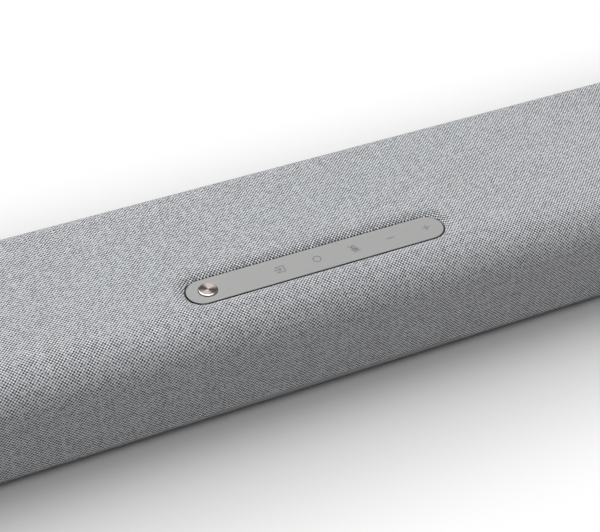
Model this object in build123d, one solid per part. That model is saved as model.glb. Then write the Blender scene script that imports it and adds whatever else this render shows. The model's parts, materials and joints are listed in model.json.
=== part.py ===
from build123d import *
from math import sqrt
import os

# Outer form (mm): length along X, front faces -Y, feet stand on z = 0
BAR_LENGTH = 1015.0
BAR_DEPTH = 112.0
BAR_HEIGHT = 63.0
FOOT_HEIGHT = 2.0
FRONT_TOP_RADIUS = 21.0
END_RADIUS = 18.0
REAR_RADIUS = 8.0
BASE_RADIUS = 6.5

# Fabric cover and the grille shell it is stretched over
FABRIC = 0.8
SHELL_WALL = 2.0
HEM = 11.0
HEM_CORNER = 7.0
SLOT_WIDTH = 4.0
SLOT_PITCH = 7.0
SLOT_COUNT = 9
FRONT_SLOT_HEIGHT = 28.0
TOP_SLOT_LENGTH = 50.0

# Clearances
PANEL_GAP = 0.3
PANEL_SINK = 0.5
FIT_GAP = 0.2
SLIDE_GAP = 0.3
COIL_GAP = 0.4
SCREW_GAP = 0.1
POCKET_GAP = 0.7

# Housing, baffle and chamber walls
HOUSING_WALL = 2.5
BAFFLE_WALL = 2.5
BAFFLE_SETBACK = 0.7
BAFFLE_DROP = 0.5
TOWER_POCKET = 16.0
TOWER_RADIUS = 4.5
TOWER_INSET = 23.0
BOSS_RADIUS = 4.0
BOSS_Y = 20.0

# Control strip in the top, with its push button
STRIP_LENGTH = 140.0
STRIP_WIDTH = 17.3
STRIP_SETBACK = 30.2
STRIP_SINK = 1.0
COVER_THICK = 2.2
COVER_EDGE = 0.7
GROOVE = 0.9
DISH_WIDTH = 8.0
DISH_DEPTH = 1.6
PAD_DROP = 1.4
PAD_REACH = 9.0
TRAY_RIM = 1.6
TRAY_LEDGE = 1.2
TRAY_FLANGE = 5.0
TRAY_DEPTH = 8.7
TRAY_FLOOR = 1.2
BUTTON_DIAMETER = 9.4
BUTTON_INSET = 11.0
BUTTON_RISE = 0.8
BUTTON_DISH = 0.35
BUTTON_COLLAR = 1.0
COLLAR_THICK = 0.8
BUTTON_TRAVEL = 0.6
STEM_DIAMETER = 3.0
PLUNGER_DIAMETER = 2.6
PLUNGER_RISE = 0.9
SWITCH_SIZE = 6.0
SWITCH_HEIGHT = 1.6
SWITCH_FLOOR = 0.4
CONTROL_BOARD = 1.0
CONTROL_POST = 1.5
CONTROL_POST_RADIUS = 1.5
CONTROL_POSTS = (-45.0, 0.0, 55.0)
FILM_THICK = 0.3
FILM_WIDTH = 11.0
FILM_START = 30.0
FILM_END = 7.0
RIBBON_X = 40.0
RIBBON_WIDTH = 14.0
RIBBON_THICK = 0.5
RIBBON_PLUG = 3.0

# Indicator window at the lower front edge
WINDOW_LENGTH = 140.0
WINDOW_HEIGHT = 4.2
WINDOW_Z = 6.3
LAMP_BOARD_LENGTH = 132.0
LAMP_BOARD_HEIGHT = 8.0
LAMP_BOARD_THICK = 1.2
LAMP_POST = 4.0
LAMP_POST_X = 58.0
LAMPS = (-8.0, 0.0, 8.0)
LAMP_SIZE = 3.0
LAMP_HEIGHT = 1.2
SENSOR_X = 30.0
SENSOR_SIZE = 6.0

# Speaker drivers, measured over the mounting flange, and their places from the ends inwards
WOOFER_LENGTH = 70.0
WOOFER_WIDTH = 37.0
WOOFER_PITCH = 90.0
WOOFER_ROOM = (50.0, 53.0)
HEIGHT_DIAMETER = 58.0
HEIGHT_INSET = 82.5
HEIGHT_ROOM = 47.0
HEIGHT_Y = 4.0
HEIGHT_TILT = 12.0
HEIGHT_DROP = 4.2
HEIGHT_SEAT = 6.0
FLANGE = 2.0
FLANGE_RING = 5.5
EAR_RADIUS = 3.8
EAR_REACH = 2.5
BASKET_INSET = 3.2
BASKET_WALL = 1.4
BASKET_DEPTH = 12.0
BASKET_TAPER = 0.8
BASKET_RIM = 2.4
BASKET_FOOT = 1.8
BASKET_LONG_GAP = 20.0
BASKET_END_GAP = 14.0
MOTOR_STEP = 2.0
ROLL_RADIUS = 2.0
ROLL_SKIN = 0.6
ROLL_LIP = 1.5
CONE_GAP = 1.2
CONE_WALL = 0.8
CONE_RIM = 2.5
NECK_RADIUS = 8.2
NECK_DEPTH = 8.5
COIL_RADIUS = 7.6
COIL_LENGTH = 6.0
FORMER_WALL = 0.4
FORMER_LENGTH = 11.5
POLE_PLATE = 3.0
MAGNET_HEIGHT = 8.0
CAP_HEIGHT = 2.4
SPIDER_THICK = 0.5
SPIDER_RISE = 1.5

# Screws
SCREW_RADIUS = 1.5
SCREW_HEAD_RADIUS = 2.8
SCREW_HEAD = 1.6
SCREW_LENGTH = 8.0
COVER_HEAD_RADIUS = 3.3
COVER_HEAD = 1.0
COVER_SCREW_LENGTH = 14.0

# Electronics and connectors
BOARD = 1.6
BOARD_LIFT = 9.0
BOARD_START = 8.0
BOARD_LENGTH = 114.0
BOARD_SETBACK = 13.5
BOARD_INSET = 6.0
STANDOFF_RADIUS = 3.5
BAY_LENGTH = 160.0
BAY_HEIGHT = 28.0
BAY_DEPTH = 22.0
BAY_LIFT = 5.0
BAY_WALL = 2.0
PLATE = 1.2
PLATE_EDGE = 2.0
SOCKET_PROUD = 0.8
SOCKET_DEPTH = 14.0
SOCKET_FLOOR = 2.0
SOCKET_WALL = 0.8
OPTICAL_WALL = 1.6
MAINS_WALL = 3.2
HDMI_REACH = 13.0
USB_OFFSET = 1.5
OPTICAL_INSET = 10.0
MAINS_INSET = 30.0
PIN_PITCH = 8.6
PIN_RADIUS = 1.2
PIN_LENGTH = 8.0
VENT_COUNT = 11
VENT_PITCH = 14.0
VENT_WIDTH = 3.0
VENT_LENGTH = 30.0
PROCESSOR = (95.0, 26.0)
PROCESSOR_SIZE = 24.0
PROCESSOR_HEIGHT = 2.2
SINK_SIZE = 36.0
SINK_BASE = 3.0
FIN_COUNT = 7
FIN_PITCH = 5.5
FIN = 1.6
FIN_HEIGHT = 14.0
WADDING_GAP = 4.0

# Wall-mount keyholes and feet
KEYHOLE_SPACING = 460.0
KEYHOLE_RADIUS = 5.0
KEYHOLE_SLOT = 5.0
KEYHOLE_RUN = 12.0
KEYHOLE_Z = 23.0
KEYHOLE_PLATE = 1.5
KEYHOLE_POCKET = 12.0
KEYHOLE_EDGE = 10.0
KEYHOLE_SHOW = 0.6
FOOT_LENGTH = 42.0
FOOT_WIDTH = 12.0
FOOT_INSET_X = 77.5
FOOT_INSET_Y = 24.0
FOOT_RECESS = 1.0

# Planes that follow from the sizes above
FRONT = -BAR_DEPTH / 2
BACK = BAR_DEPTH / 2
END = BAR_LENGTH / 2
SHELL_TOP = BAR_HEIGHT - FABRIC - SHELL_WALL
PANEL_END = END - HEM - PANEL_GAP
PANEL_FRONT = FRONT + HEM + PANEL_GAP
PANEL_TOP = BAR_HEIGHT - HEM - PANEL_GAP
BASE_LOW = FOOT_HEIGHT + PANEL_SINK
BASE_TOP = BASE_LOW + HOUSING_WALL
BACK_OUT = BACK - PANEL_SINK
BACK_IN = BACK_OUT - HOUSING_WALL
BOX_END = PANEL_END - TOWER_POCKET
TOWER_X = (BOX_END + PANEL_END) / 2
TOWER_Y = BACK - TOWER_INSET
BAFFLE_TOP = PANEL_TOP - BAFFLE_DROP
BAFFLE_UNDER = BAFFLE_TOP - BAFFLE_WALL
BAFFLE_FRONT = PANEL_FRONT + BAFFLE_SETBACK
BAFFLE_BACK = BAFFLE_FRONT + BAFFLE_WALL
STRIP_Y = FRONT + STRIP_SETBACK
COVER_TOP = BAR_HEIGHT - STRIP_SINK
COVER_UNDER = COVER_TOP - COVER_THICK
RIM_TOP = BAR_HEIGHT - DISH_DEPTH - FABRIC
TRAY_BASE = RIM_TOP - TRAY_DEPTH
TRAY_INSIDE = TRAY_BASE + TRAY_FLOOR
PAD_UNDER = SHELL_TOP - PAD_DROP
CONTROL_UNDER = TRAY_INSIDE + CONTROL_POST
CONTROL_TOP = CONTROL_UNDER + CONTROL_BOARD
PLUNGER_TOP = CONTROL_TOP + SWITCH_HEIGHT + PLUNGER_RISE
BUTTON_X = BUTTON_INSET - STRIP_LENGTH / 2
WOOFER_Z = (BASE_TOP + BAFFLE_UNDER) / 2
HEIGHT_X = END - HEIGHT_INSET
HEIGHT_Z = BAFFLE_TOP - HEIGHT_DROP
OUTER_WALL = HEIGHT_X - HEIGHT_ROOM
WOOFER_X = (OUTER_WALL - WOOFER_ROOM[1] - WOOFER_PITCH, OUTER_WALL - WOOFER_ROOM[1])
INNER_WALL = WOOFER_X[0] - WOOFER_ROOM[0]
MOTOR_SEAT = WOOFER_WIDTH / 2 - BASKET_INSET - BASKET_TAPER
MOTOR_RADIUS = MOTOR_SEAT - MOTOR_STEP
MOTOR_DEPTH = BASKET_DEPTH + BASKET_WALL + 2 * POLE_PLATE + MAGNET_HEIGHT
FOOT_X = END - FOOT_INSET_X
FOOT_Y = BACK - FOOT_INSET_Y
BOARD_FRONT = BAFFLE_BACK + BOARD_SETBACK
BOARD_END = BOARD_START + BOARD_LENGTH
BOARD_UNDER = BASE_TOP + BOARD_LIFT
BOARD_TOP = BOARD_UNDER + BOARD
BAY_LOW = BASE_TOP + BAY_LIFT
BAY_TOP = BAY_LOW + BAY_HEIGHT
BAY_FLOOR = BACK_OUT - BAY_DEPTH
BOARD_REAR = BAY_FLOOR - PLATE - FIT_GAP
MOUTH = BAY_FLOOR + SOCKET_PROUD
SCREW_HOLE = SCREW_RADIUS + SCREW_GAP
HEIGHT_POCKET = HEIGHT_DIAMETER / 2 + EAR_REACH + EAR_RADIUS + POCKET_GAP
BOARD_COLUMNS = (BOARD_START + BOARD_INSET, BOARD_END - BOARD_INSET)
HDMI_X = BOARD_COLUMNS[0] + HDMI_REACH
OPTICAL_X = BAY_LENGTH / 2 - OPTICAL_INSET
USB_X = (HDMI_X + OPTICAL_X) / 2 + USB_OFFSET
MAINS_X = MAINS_INSET - BAY_LENGTH / 2

# Connectors standing on the boards: place along the bay, width, height and wall
SOCKETS = {
    "hdmi_socket": (HDMI_X, 15.0, 6.4, SOCKET_WALL),
    "usb_socket": (USB_X, 14.0, 6.8, SOCKET_WALL),
    "optical_socket": (OPTICAL_X, 11.0, 11.0, OPTICAL_WALL),
    "mains_inlet": (MAINS_X, 23.0, 16.0, MAINS_WALL),
}

# Parts soldered to the boards, with y from the front edge: blocks as x, y and sizes
MAIN_BLOCKS = [
    (18.0, 16.0, 12.0, 8.0, 9.0),
    (34.0, 18.0, 10.0, 10.0, 6.0),
    (34.0, 31.0, 10.0, 10.0, 6.0),
    (58.0, 8.0, 9.0, 9.0, 1.8),
]
POWER_BLOCKS = [
    (-95.0, 18.0, 34.0, 28.0, 24.0),
    (-72.0, 24.0, 4.0, 30.0, 22.0),
    (-50.0, 24.0, 20.0, 18.0, 16.0),
    (-28.0, 14.0, 22.0, 6.0, 6.0),
]

# Capacitor cans as x, y, radius and height
MAIN_CANS = [(60.0, 24.0, 5.0, 14.0), (47.0, 24.0, 5.0, 14.0), (20.0, 28.0, 4.0, 11.0)]
POWER_CANS = [
    (-26.0, 30.0, 9.0, 24.0),
    (-92.0, 39.0, 5.0, 18.0),
    (-104.0, 39.0, 5.0, 18.0),
    (-62.0, 8.0, 6.0, 12.0),
]


def block(xs, ys, zs):
    """Box between two limits on each axis."""
    spans = (xs, ys, zs)
    return Pos(*[(a + b) / 2 for a, b in spans]) * Box(*[b - a for a, b in spans])


def post(x, y, low, high, radius):
    """Upright cylinder."""
    return Pos(x, y, (low + high) / 2) * Cylinder(radius, high - low)


def total(shapes):
    """All the shapes fused together."""
    shapes = list(shapes)
    return shapes[0] + shapes[1:] if len(shapes) > 1 else shapes[0]


def sides(values):
    """Every value on the left and on the right of the middle."""
    return [side * value for value in values for side in (-1, 1)]


def strip(reach, low, high):
    """Upright stadium around the control strip, wider than it by reach all round."""
    outline = SlotOverall(STRIP_LENGTH + 2 * reach, STRIP_WIDTH + 2 * reach)
    return extrude(Pos(0, STRIP_Y, low) * outline, high - low)


def front_stadium(length, height, y_front, y_back, z):
    """Stadium facing the front, through the given depth."""
    return Pos(0, y_back, z) * Rot(90, 0, 0) * extrude(SlotOverall(length, height), y_back - y_front)


def racetrack(length, width, z):
    """Closed outline of four edges: a stadium, or a circle where both sizes are equal."""
    radius = width / 2
    run = (length - width) / 2
    cx, cy = (run, radius) if run > 0 else (radius / 2, radius * sqrt(3) / 2)
    corners = [Vector(-cx, -cy, z), Vector(cx, -cy, z), Vector(cx, cy, z), Vector(-cx, cy, z)]
    middles = [(0, -radius, z), (length / 2, 0, z), (0, radius, z), (-length / 2, 0, z)]
    edges = []
    for index, middle in enumerate(middles):
        start, stop = corners[index], corners[(index + 1) % 4]
        straight = run > 0 and index % 2 == 0
        edges.append(Edge.make_line(start, stop) if straight
                     else Edge.make_three_point_arc(start, middle, stop))
    return Wire(edges)


def plate(length, width, low, high):
    """Flat racetrack plate."""
    return extrude(Face(racetrack(length, width, low)), high - low, dir=(0, 0, 1))


def funnel(length, width, high, radius, low):
    """Solid that narrows from a racetrack to a circle below it."""
    return Solid.make_loft([racetrack(length, width, high), racetrack(2 * radius, 2 * radius, low)], True)


def envelope(inset):
    """The bar's outer form, moved inwards by the inset on every side."""
    front, back, end = FRONT + inset, BACK - inset, END - inset
    base, top = FOOT_HEIGHT + inset, BAR_HEIGHT - inset
    radius = FRONT_TOP_RADIUS - inset
    outline = (Line((front, base), (front, top - radius))
               + TangentArc((front, top - radius), (front + radius, top), tangent=(0, 1))
               + Polyline((front + radius, top), (back, top), (back, base), (front, base)))
    body = extrude(Plane.YZ.offset(-end) * make_face(outline), 2 * end)
    caps = [face for face in body.faces() if abs(abs(face.center().X) - end) < FIT_GAP]
    corner = [edge for face in caps for edge in face.edges()
              if edge.center().Y < back - FIT_GAP and edge.center().Z > base + FIT_GAP]
    body = fillet(corner, END_RADIUS - inset)
    rear = body.faces().sort_by(Axis.Y)[-1].edges()
    body = fillet([edge for edge in rear if edge.center().Z > base + FIT_GAP], REAR_RADIUS - inset)
    return fillet(body.faces().sort_by(Axis.Z)[0].edges(), BASE_RADIUS - inset)


def dish(drop):
    """Shallow hollow around the control strip, lowered by the drop."""
    low = BAR_HEIGHT - DISH_DEPTH - drop
    edges = []
    for level, reach in ((0, GROOVE), (2, GROOVE + 2 * DISH_WIDTH)):
        edge = racetrack(STRIP_LENGTH + 2 * reach, STRIP_WIDTH + 2 * reach, low + level * DISH_DEPTH)
        edges.append(edge)
    return Pos(0, STRIP_Y, 0) * Solid.make_loft(edges, True)


def rear_window(gap):
    """Opening in the cover for the back and base panel; the panel itself with a gap."""
    end = END - HEM - gap
    base = block((-end, end), (FRONT + HEM + gap, BACK), (0, FOOT_HEIGHT + HEM - gap))
    base = fillet(base.edges().filter_by(Axis.Z).group_by(Axis.Y)[0], HEM_CORNER - gap)
    back = block((-end, end), (BACK - HEM + gap, BACK), (0, BAR_HEIGHT - HEM - gap))
    back = fillet(back.edges().filter_by(Axis.Y).group_by(Axis.Z)[-1], HEM_CORNER - gap)
    return base + back


def keyhole(grow, y_front, y_back):
    """Round entry with an upright slot above it."""
    depth = y_back - y_front
    entry = Rot(90, 0, 0) * extrude(Circle(KEYHOLE_RADIUS + grow), depth)
    half = KEYHOLE_SLOT / 2 + grow
    slot = block((-half, half), (-depth, 0), (0, KEYHOLE_RUN))
    cap = Pos(0, 0, KEYHOLE_RUN) * Rot(90, 0, 0) * extrude(Circle(half), depth)
    return Pos(0, y_back, KEYHOLE_Z) * (entry + slot + cap)


def screw(radius, head_radius, head, length):
    """Screw with its head above the local plane and its shank below."""
    return post(0, 0, 0, head, head_radius) + post(0, 0, -length, 0, radius)


def ears(length, width):
    """Places of the four mounting ears of a driver."""
    run = (length - width) / 2
    reach = (width / 2 + EAR_REACH) / sqrt(2)
    return [(x, y) for x in (-run - reach, run + reach) for y in (-reach, reach)]


def driver_frame(length, width):
    """Flange with four ears, and the open basket behind it."""
    frame = plate(length, width, 0, FLANGE)
    frame += [post(x, y, 0, FLANGE, EAR_RADIUS) for x, y in ears(length, width)]
    frame -= plate(length - 2 * FLANGE_RING, width - 2 * FLANGE_RING, 0, FLANGE)
    frame -= [post(x, y, 0, FLANGE, SCREW_HOLE) for x, y in ears(length, width)]
    inset = 2 * BASKET_INSET
    basket = funnel(length - inset, width - inset, 0, MOTOR_SEAT, -BASKET_DEPTH)
    inset += 2 * BASKET_WALL
    basket -= funnel(length - inset, width - inset, 0, MOTOR_SEAT - BASKET_WALL, -BASKET_DEPTH)
    window = (BASKET_FOOT - BASKET_DEPTH, -BASKET_RIM)
    basket -= block((-length, length), (-BASKET_END_GAP / 2, BASKET_END_GAP / 2), window)
    basket -= block((-BASKET_LONG_GAP / 2, BASKET_LONG_GAP / 2), (-width, width), window)
    seat = post(0, 0, -BASKET_DEPTH - BASKET_WALL, -BASKET_DEPTH, MOTOR_SEAT)
    seat -= post(0, 0, -BASKET_DEPTH - BASKET_WALL, -BASKET_DEPTH, COIL_RADIUS + 2 * COIL_GAP)
    return frame + basket + seat


def driver_motor():
    """Front plate, ring magnet, and the yoke with its pole."""
    top = -BASKET_DEPTH - BASKET_WALL
    front = post(0, 0, top - POLE_PLATE, top, MOTOR_RADIUS)
    front -= post(0, 0, top - POLE_PLATE, top, COIL_RADIUS + COIL_GAP)
    low = top - POLE_PLATE - MAGNET_HEIGHT
    magnet = post(0, 0, low, top - POLE_PLATE, MOTOR_RADIUS)
    magnet -= post(0, 0, low, top - POLE_PLATE, COIL_RADIUS + 3 * COIL_GAP)
    pole = COIL_RADIUS - 2 * FORMER_WALL - COIL_GAP
    yoke = post(0, 0, low - POLE_PLATE, low, MOTOR_RADIUS) + post(0, 0, low, top, pole)
    return Compound([front, magnet, yoke])


def driver_cone(length, width):
    """Cone with its rim, dust cap, and the voice coil on its former."""
    inset = 2 * (FLANGE_RING + CONE_GAP)
    rim = plate(length - inset, width - inset, FLANGE - CONE_WALL, FLANGE)
    inset += CONE_RIM
    body = funnel(length - inset, width - inset, FLANGE, NECK_RADIUS, -NECK_DEPTH)
    hollow = Pos(0, 0, CONE_WALL) * body
    cone = (rim + body) - hollow
    floor = CONE_WALL - NECK_DEPTH
    cap_radius = NECK_RADIUS - CONE_WALL
    ball = (cap_radius ** 2 + CAP_HEIGHT ** 2) / (2 * CAP_HEIGHT)
    cap = Pos(0, 0, floor + CAP_HEIGHT - ball) * Sphere(ball)
    cone += cap & post(0, 0, floor, floor + CAP_HEIGHT, NECK_RADIUS)
    former = COIL_RADIUS - FORMER_WALL
    tube = post(0, 0, -NECK_DEPTH - FORMER_LENGTH, -NECK_DEPTH, former)
    middle = -BASKET_DEPTH - BASKET_WALL - POLE_PLATE / 2
    tube += post(0, 0, middle - COIL_LENGTH / 2, middle + COIL_LENGTH / 2, COIL_RADIUS)
    tube -= post(0, 0, -NECK_DEPTH - FORMER_LENGTH, -NECK_DEPTH, former - FORMER_WALL)
    return cone + tube


def driver_surround(length, width):
    """Half-roll edge between the flange and the cone's rim."""
    radius = width / 2 - FLANGE_RING
    run = (length - width) / 2
    outer, inner = ROLL_RADIUS + ROLL_SKIN / 2, ROLL_RADIUS - ROLL_SKIN / 2
    lip = ROLL_RADIUS + ROLL_LIP
    section = Circle(outer) + Rectangle(2 * lip, 2 * ROLL_SKIN) - Circle(inner)
    section &= Pos(0, outer) * Rectangle(2 * lip, 2 * outer)
    turn = revolve(Rot(90, 0, 0) * Pos(radius, 0) * section, Axis.Z, 180)
    right = Pos(run, 0, FLANGE) * Rot(0, 0, -90) * turn
    parts = [right, Rot(0, 0, 180) * right]
    if run > 0:
        near = extrude(Pos(-run, -radius, FLANGE) * (Plane.YZ * section), 2 * run, dir=(1, 0, 0))
        parts += [near, Rot(0, 0, 180) * near]
    return total(parts)


def driver_spider():
    """Springy disc that centres the coil, standing on the basket's seat."""
    outer = MOTOR_SEAT - BASKET_WALL - COIL_GAP
    low, high = -BASKET_DEPTH, SPIDER_RISE - BASKET_DEPTH
    disc = post(0, 0, low, high + SPIDER_THICK, outer) - post(0, 0, low, high, outer - ROLL_LIP)
    return disc - post(0, 0, low, high + SPIDER_THICK, COIL_RADIUS + FIT_GAP)


def socket(name):
    """Connector shell standing on its board, open to the back."""
    x, width, height, wall = SOCKETS[name]
    low = BOARD_TOP
    shell = block((x - width / 2, x + width / 2), (MOUTH - SOCKET_DEPTH, MOUTH), (low, low + height))
    middle = low + height / 2
    floor = MOUTH - SOCKET_DEPTH + SOCKET_FLOOR
    if name == "mains_inlet":
        mouth = SlotOverall(width - 2 * wall, height - 2 * wall)
        hollow = Pos(x, MOUTH, middle) * Rot(90, 0, 0) * extrude(mouth, MOUTH - floor)
        pin = Rot(-90, 0, 0) * post(0, 0, 0, PIN_LENGTH, PIN_RADIUS)
        return shell - hollow + [Pos(x + reach, floor, middle) * pin for reach in sides((PIN_PITCH / 2,))]
    room = width / 2 - wall
    shell -= block((x - room, x + room), (floor, MOUTH), (low + wall, low + height - wall))
    if name != "optical_socket":
        tongue = room - wall
        shell += block((x - tongue, x + tongue), (floor, MOUTH - wall),
                       (middle - wall / 2, middle + wall / 2))
    return shell


def soldered(blocks, cans):
    """Blocks and cans standing on a board."""
    parts = [Pos(x, BOARD_FRONT + y, BOARD_TOP + dz / 2) * Box(dx, dy, dz) for x, y, dx, dy, dz in blocks]
    for x, y, radius, height in cans:
        parts.append(post(x, BOARD_FRONT + y, BOARD_TOP, BOARD_TOP + height, radius))
    return parts


def save(name, shape):
    """Write one named part, or a group of separate solids under one name."""
    shape = Compound(list(shape)) if isinstance(shape, (list, tuple)) else shape
    export_step(shape, f"parts/{name}.step")


os.makedirs("parts", exist_ok=True)

# Fabric cover and grille shell
inside = FABRIC + SHELL_WALL
middle = envelope(FABRIC) - dish(FABRIC)
notch = front_stadium(WINDOW_LENGTH + 2 * FIT_GAP, WINDOW_HEIGHT + 2 * FIT_GAP,
                      FRONT, FRONT + BASE_RADIUS + FIT_GAP, WINDOW_Z)
fabric = envelope(0) - dish(0) - middle - rear_window(0)
fabric -= [strip(GROOVE, PAD_UNDER, BAR_HEIGHT), notch]
save("fabric_sleeve", fabric)

shell = middle - (envelope(inside) - strip(PAD_REACH, PAD_UNDER, BAR_HEIGHT)) - rear_window(0)
towers = [(x, y) for x in sides((TOWER_X,)) for y in (-TOWER_Y, TOWER_Y)]
shell += [post(x, y, BASE_TOP, BAR_HEIGHT, TOWER_RADIUS) & middle for x, y in towers]
cuts = [post(x, y, BASE_TOP, BASE_TOP + COVER_SCREW_LENGTH, SCREW_HOLE) for x, y in towers]
cuts += [strip(TRAY_RIM + FIT_GAP, PAD_UNDER, BAR_HEIGHT), notch]
slot_steps = [(index - (SLOT_COUNT - 1) / 2) * SLOT_PITCH for index in range(SLOT_COUNT)]
for step in slot_steps:
    low, high = WOOFER_Z - FRONT_SLOT_HEIGHT / 2, WOOFER_Z + FRONT_SLOT_HEIGHT / 2
    for x in [centre + step for centre in sides(WOOFER_X)]:
        cuts.append(block((x - SLOT_WIDTH / 2, x + SLOT_WIDTH / 2), (FRONT, FRONT + HEM), (low, high)))
    near, far = HEIGHT_Y - TOP_SLOT_LENGTH / 2, HEIGHT_Y + TOP_SLOT_LENGTH / 2
    for x in [centre + step for centre in sides((HEIGHT_X,))]:
        cuts.append(block((x - SLOT_WIDTH / 2, x + SLOT_WIDTH / 2), (near, far), (PAD_UNDER, BAR_HEIGHT)))
shell -= cuts
save("grille_shell", shell)

# Rear housing: base panel, back panel sections that meet edge to edge, and keyhole pockets
hollow = block((-END, END), (FRONT, BACK_IN), (BASE_TOP, BAR_HEIGHT))
corner = hollow.edges().filter_by(Axis.X).group_by(Axis.Z)[0].sort_by(Axis.Y)[-1]
hollow = fillet(corner, BASE_RADIUS - PANEL_SINK - HOUSING_WALL)
housing = (rear_window(PANEL_GAP) & envelope(PANEL_SINK)) - hollow
pocket_half = KEYHOLE_RADIUS + KEYHOLE_EDGE
pocket_low = KEYHOLE_Z - pocket_half
pocket_high = KEYHOLE_Z + KEYHOLE_RUN + KEYHOLE_SLOT
pocket_front = BACK_IN - KEYHOLE_POCKET
keyholes = sides((KEYHOLE_SPACING / 2,))
pockets = [block((x - pocket_half - KEYHOLE_PLATE, x + pocket_half + KEYHOLE_PLATE),
                 (pocket_front - KEYHOLE_PLATE, BACK_IN),
                 (pocket_low - KEYHOLE_PLATE, pocket_high + KEYHOLE_PLATE)) for x in keyholes]
bay = (-BAY_LENGTH / 2, BAY_LENGTH / 2)
cuts = [block(bay, (BACK_IN, BACK), (BAY_LOW, BAY_TOP))]
for x, y in towers:
    cuts.append(post(x, y, BASE_LOW, BASE_TOP, SCREW_HOLE))
    cuts.append(post(x, y, BASE_LOW, BASE_LOW + COVER_HEAD + FIT_GAP, COVER_HEAD_RADIUS + FIT_GAP))
cuts += [Pos(x, 0, 0) * keyhole(KEYHOLE_SHOW, BACK_IN, BACK) for x in keyholes]
feet = [(x, y) for x in sides((FOOT_X,)) for y in (-FOOT_Y, FOOT_Y)]
foot_shape = SlotOverall(FOOT_LENGTH, FOOT_WIDTH)
for x, y in feet:
    seat = SlotOverall(FOOT_LENGTH + 2 * SCREW_GAP, FOOT_WIDTH + 2 * SCREW_GAP)
    cuts.append(extrude(Pos(x, y, BASE_LOW) * seat, FOOT_RECESS))
for index in range(VENT_COUNT):
    x = (index - (VENT_COUNT - 1) / 2) * VENT_PITCH
    cuts.append(block((x - VENT_WIDTH / 2, x + VENT_WIDTH / 2),
                      (-VENT_LENGTH / 2, VENT_LENGTH / 2), (BASE_LOW, BASE_TOP)))
housing -= cuts
seam = FOOT_HEIGHT + BASE_RADIUS
sections = list((housing & block((-END, END), (FRONT, BACK), (0, seam))).solids())
joints = sorted((-END, END, *bay, *[x + reach for x in keyholes for reach in (-pocket_half, pocket_half)]))
for limits in zip(joints, joints[1:]):
    sections += (housing & block(limits, (BACK_IN, BACK), (seam, BAR_HEIGHT))).solids()
for x, pocket in zip(keyholes, pockets):
    room = block((x - pocket_half, x + pocket_half), (pocket_front, BACK_IN), (pocket_low, pocket_high))
    sections.append((pocket & hollow) - room)
save("rear_housing", sections)
save("feet", [extrude(Pos(x, y, 0) * foot_shape, BASE_LOW + FOOT_RECESS) for x, y in feet])
keyhole_plates = []
for x in keyholes:
    steel = block((x - pocket_half + FIT_GAP, x + pocket_half - FIT_GAP), (BACK_IN - KEYHOLE_PLATE, BACK_IN),
                  (pocket_low + FIT_GAP, pocket_high - FIT_GAP))
    keyhole_plates.append(steel - Pos(x, 0, 0) * keyhole(0, BACK_IN - KEYHOLE_PLATE, BACK_IN))
save("keyhole_plates", keyhole_plates)

# Inside the housing: connector bay, chamber walls with screw bosses, and board standoffs
bay_out = (-BAY_LENGTH / 2 - BAY_WALL, BAY_LENGTH / 2 + BAY_WALL)
bay_frame = block(bay_out, (BAY_FLOOR, BACK_IN), (BAY_LOW - BAY_WALL, BAY_TOP + BAY_WALL)) & hollow
save("bay_frame", bay_frame - block(bay, (BAY_FLOOR, BACK_IN), (BAY_LOW, BAY_TOP)))
chamber_walls = []
boss_places = []
for x in sides((INNER_WALL, OUTER_WALL, BOX_END - HOUSING_WALL / 2)):
    limits = (x - HOUSING_WALL / 2, x + HOUSING_WALL / 2)
    wall = block(limits, (BAFFLE_BACK, BACK_IN), (BASE_TOP, BAFFLE_UNDER)) & hollow
    bosses = [(x, -BOSS_Y), (x, BOSS_Y)]
    wall += [post(*place, BASE_TOP, BAFFLE_UNDER, BOSS_RADIUS) for place in bosses]
    wall -= [post(*place, BAFFLE_UNDER - SCREW_LENGTH, BAFFLE_UNDER, SCREW_HOLE) for place in bosses]
    chamber_walls.append(wall - pockets)
    boss_places += bosses
save("chamber_walls", chamber_walls)
board_rows = (BOARD_FRONT + BOARD_INSET, BOARD_REAR - BOARD_INSET)
standoffs = [(x, y) for x in sides(BOARD_COLUMNS) for y in board_rows]
save("board_standoffs", [post(x, y, BASE_TOP, BOARD_UNDER, STANDOFF_RADIUS)
                         - post(x, y, BOARD_UNDER - SCREW_LENGTH, BOARD_UNDER, SCREW_HOLE)
                         for x, y in standoffs])

# Speaker baffle with the front openings and the two tilted pockets
woofers = {f"woofer_{index + 1}": Pos(x, BAFFLE_FRONT, WOOFER_Z) * Rot(90, 0, 0)
           for index, x in enumerate(sorted(sides(WOOFER_X)))}
heights = {name: Pos(x, HEIGHT_Y, HEIGHT_Z) * Rot(HEIGHT_TILT, 0, 0)
           for name, x in (("height_left", -HEIGHT_X), ("height_right", HEIGHT_X))}
sizes = {name: (WOOFER_LENGTH, WOOFER_WIDTH) for name in woofers}
sizes |= {name: (HEIGHT_DIAMETER, HEIGHT_DIAMETER) for name in heights}
places = woofers | heights
baffle = block((-BOX_END, BOX_END), (BAFFLE_FRONT, BAFFLE_BACK), (BASE_TOP, BAFFLE_TOP))
baffle += block((-BOX_END, BOX_END), (BAFFLE_FRONT, BACK_IN), (BAFFLE_UNDER, BAFFLE_TOP))
below = block((-END, END), (FRONT, BACK), (0, BAFFLE_TOP))
pocket_wall = HEIGHT_POCKET + BAFFLE_WALL
for place in heights.values():
    baffle += place * post(0, 0, -HEIGHT_SEAT, 0, pocket_wall)
    baffle += place * post(0, 0, 0, HEIGHT_POCKET, pocket_wall) & below
lamp_z = WINDOW_Z + LAMP_BOARD_HEIGHT / 2
baffle += [Pos(x, BAFFLE_FRONT, lamp_z) * Rot(90, 0, 0) * post(0, 0, 0, LAMP_POST, CONTROL_POST_RADIUS)
           for x in sides((LAMP_POST_X,))]
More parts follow.
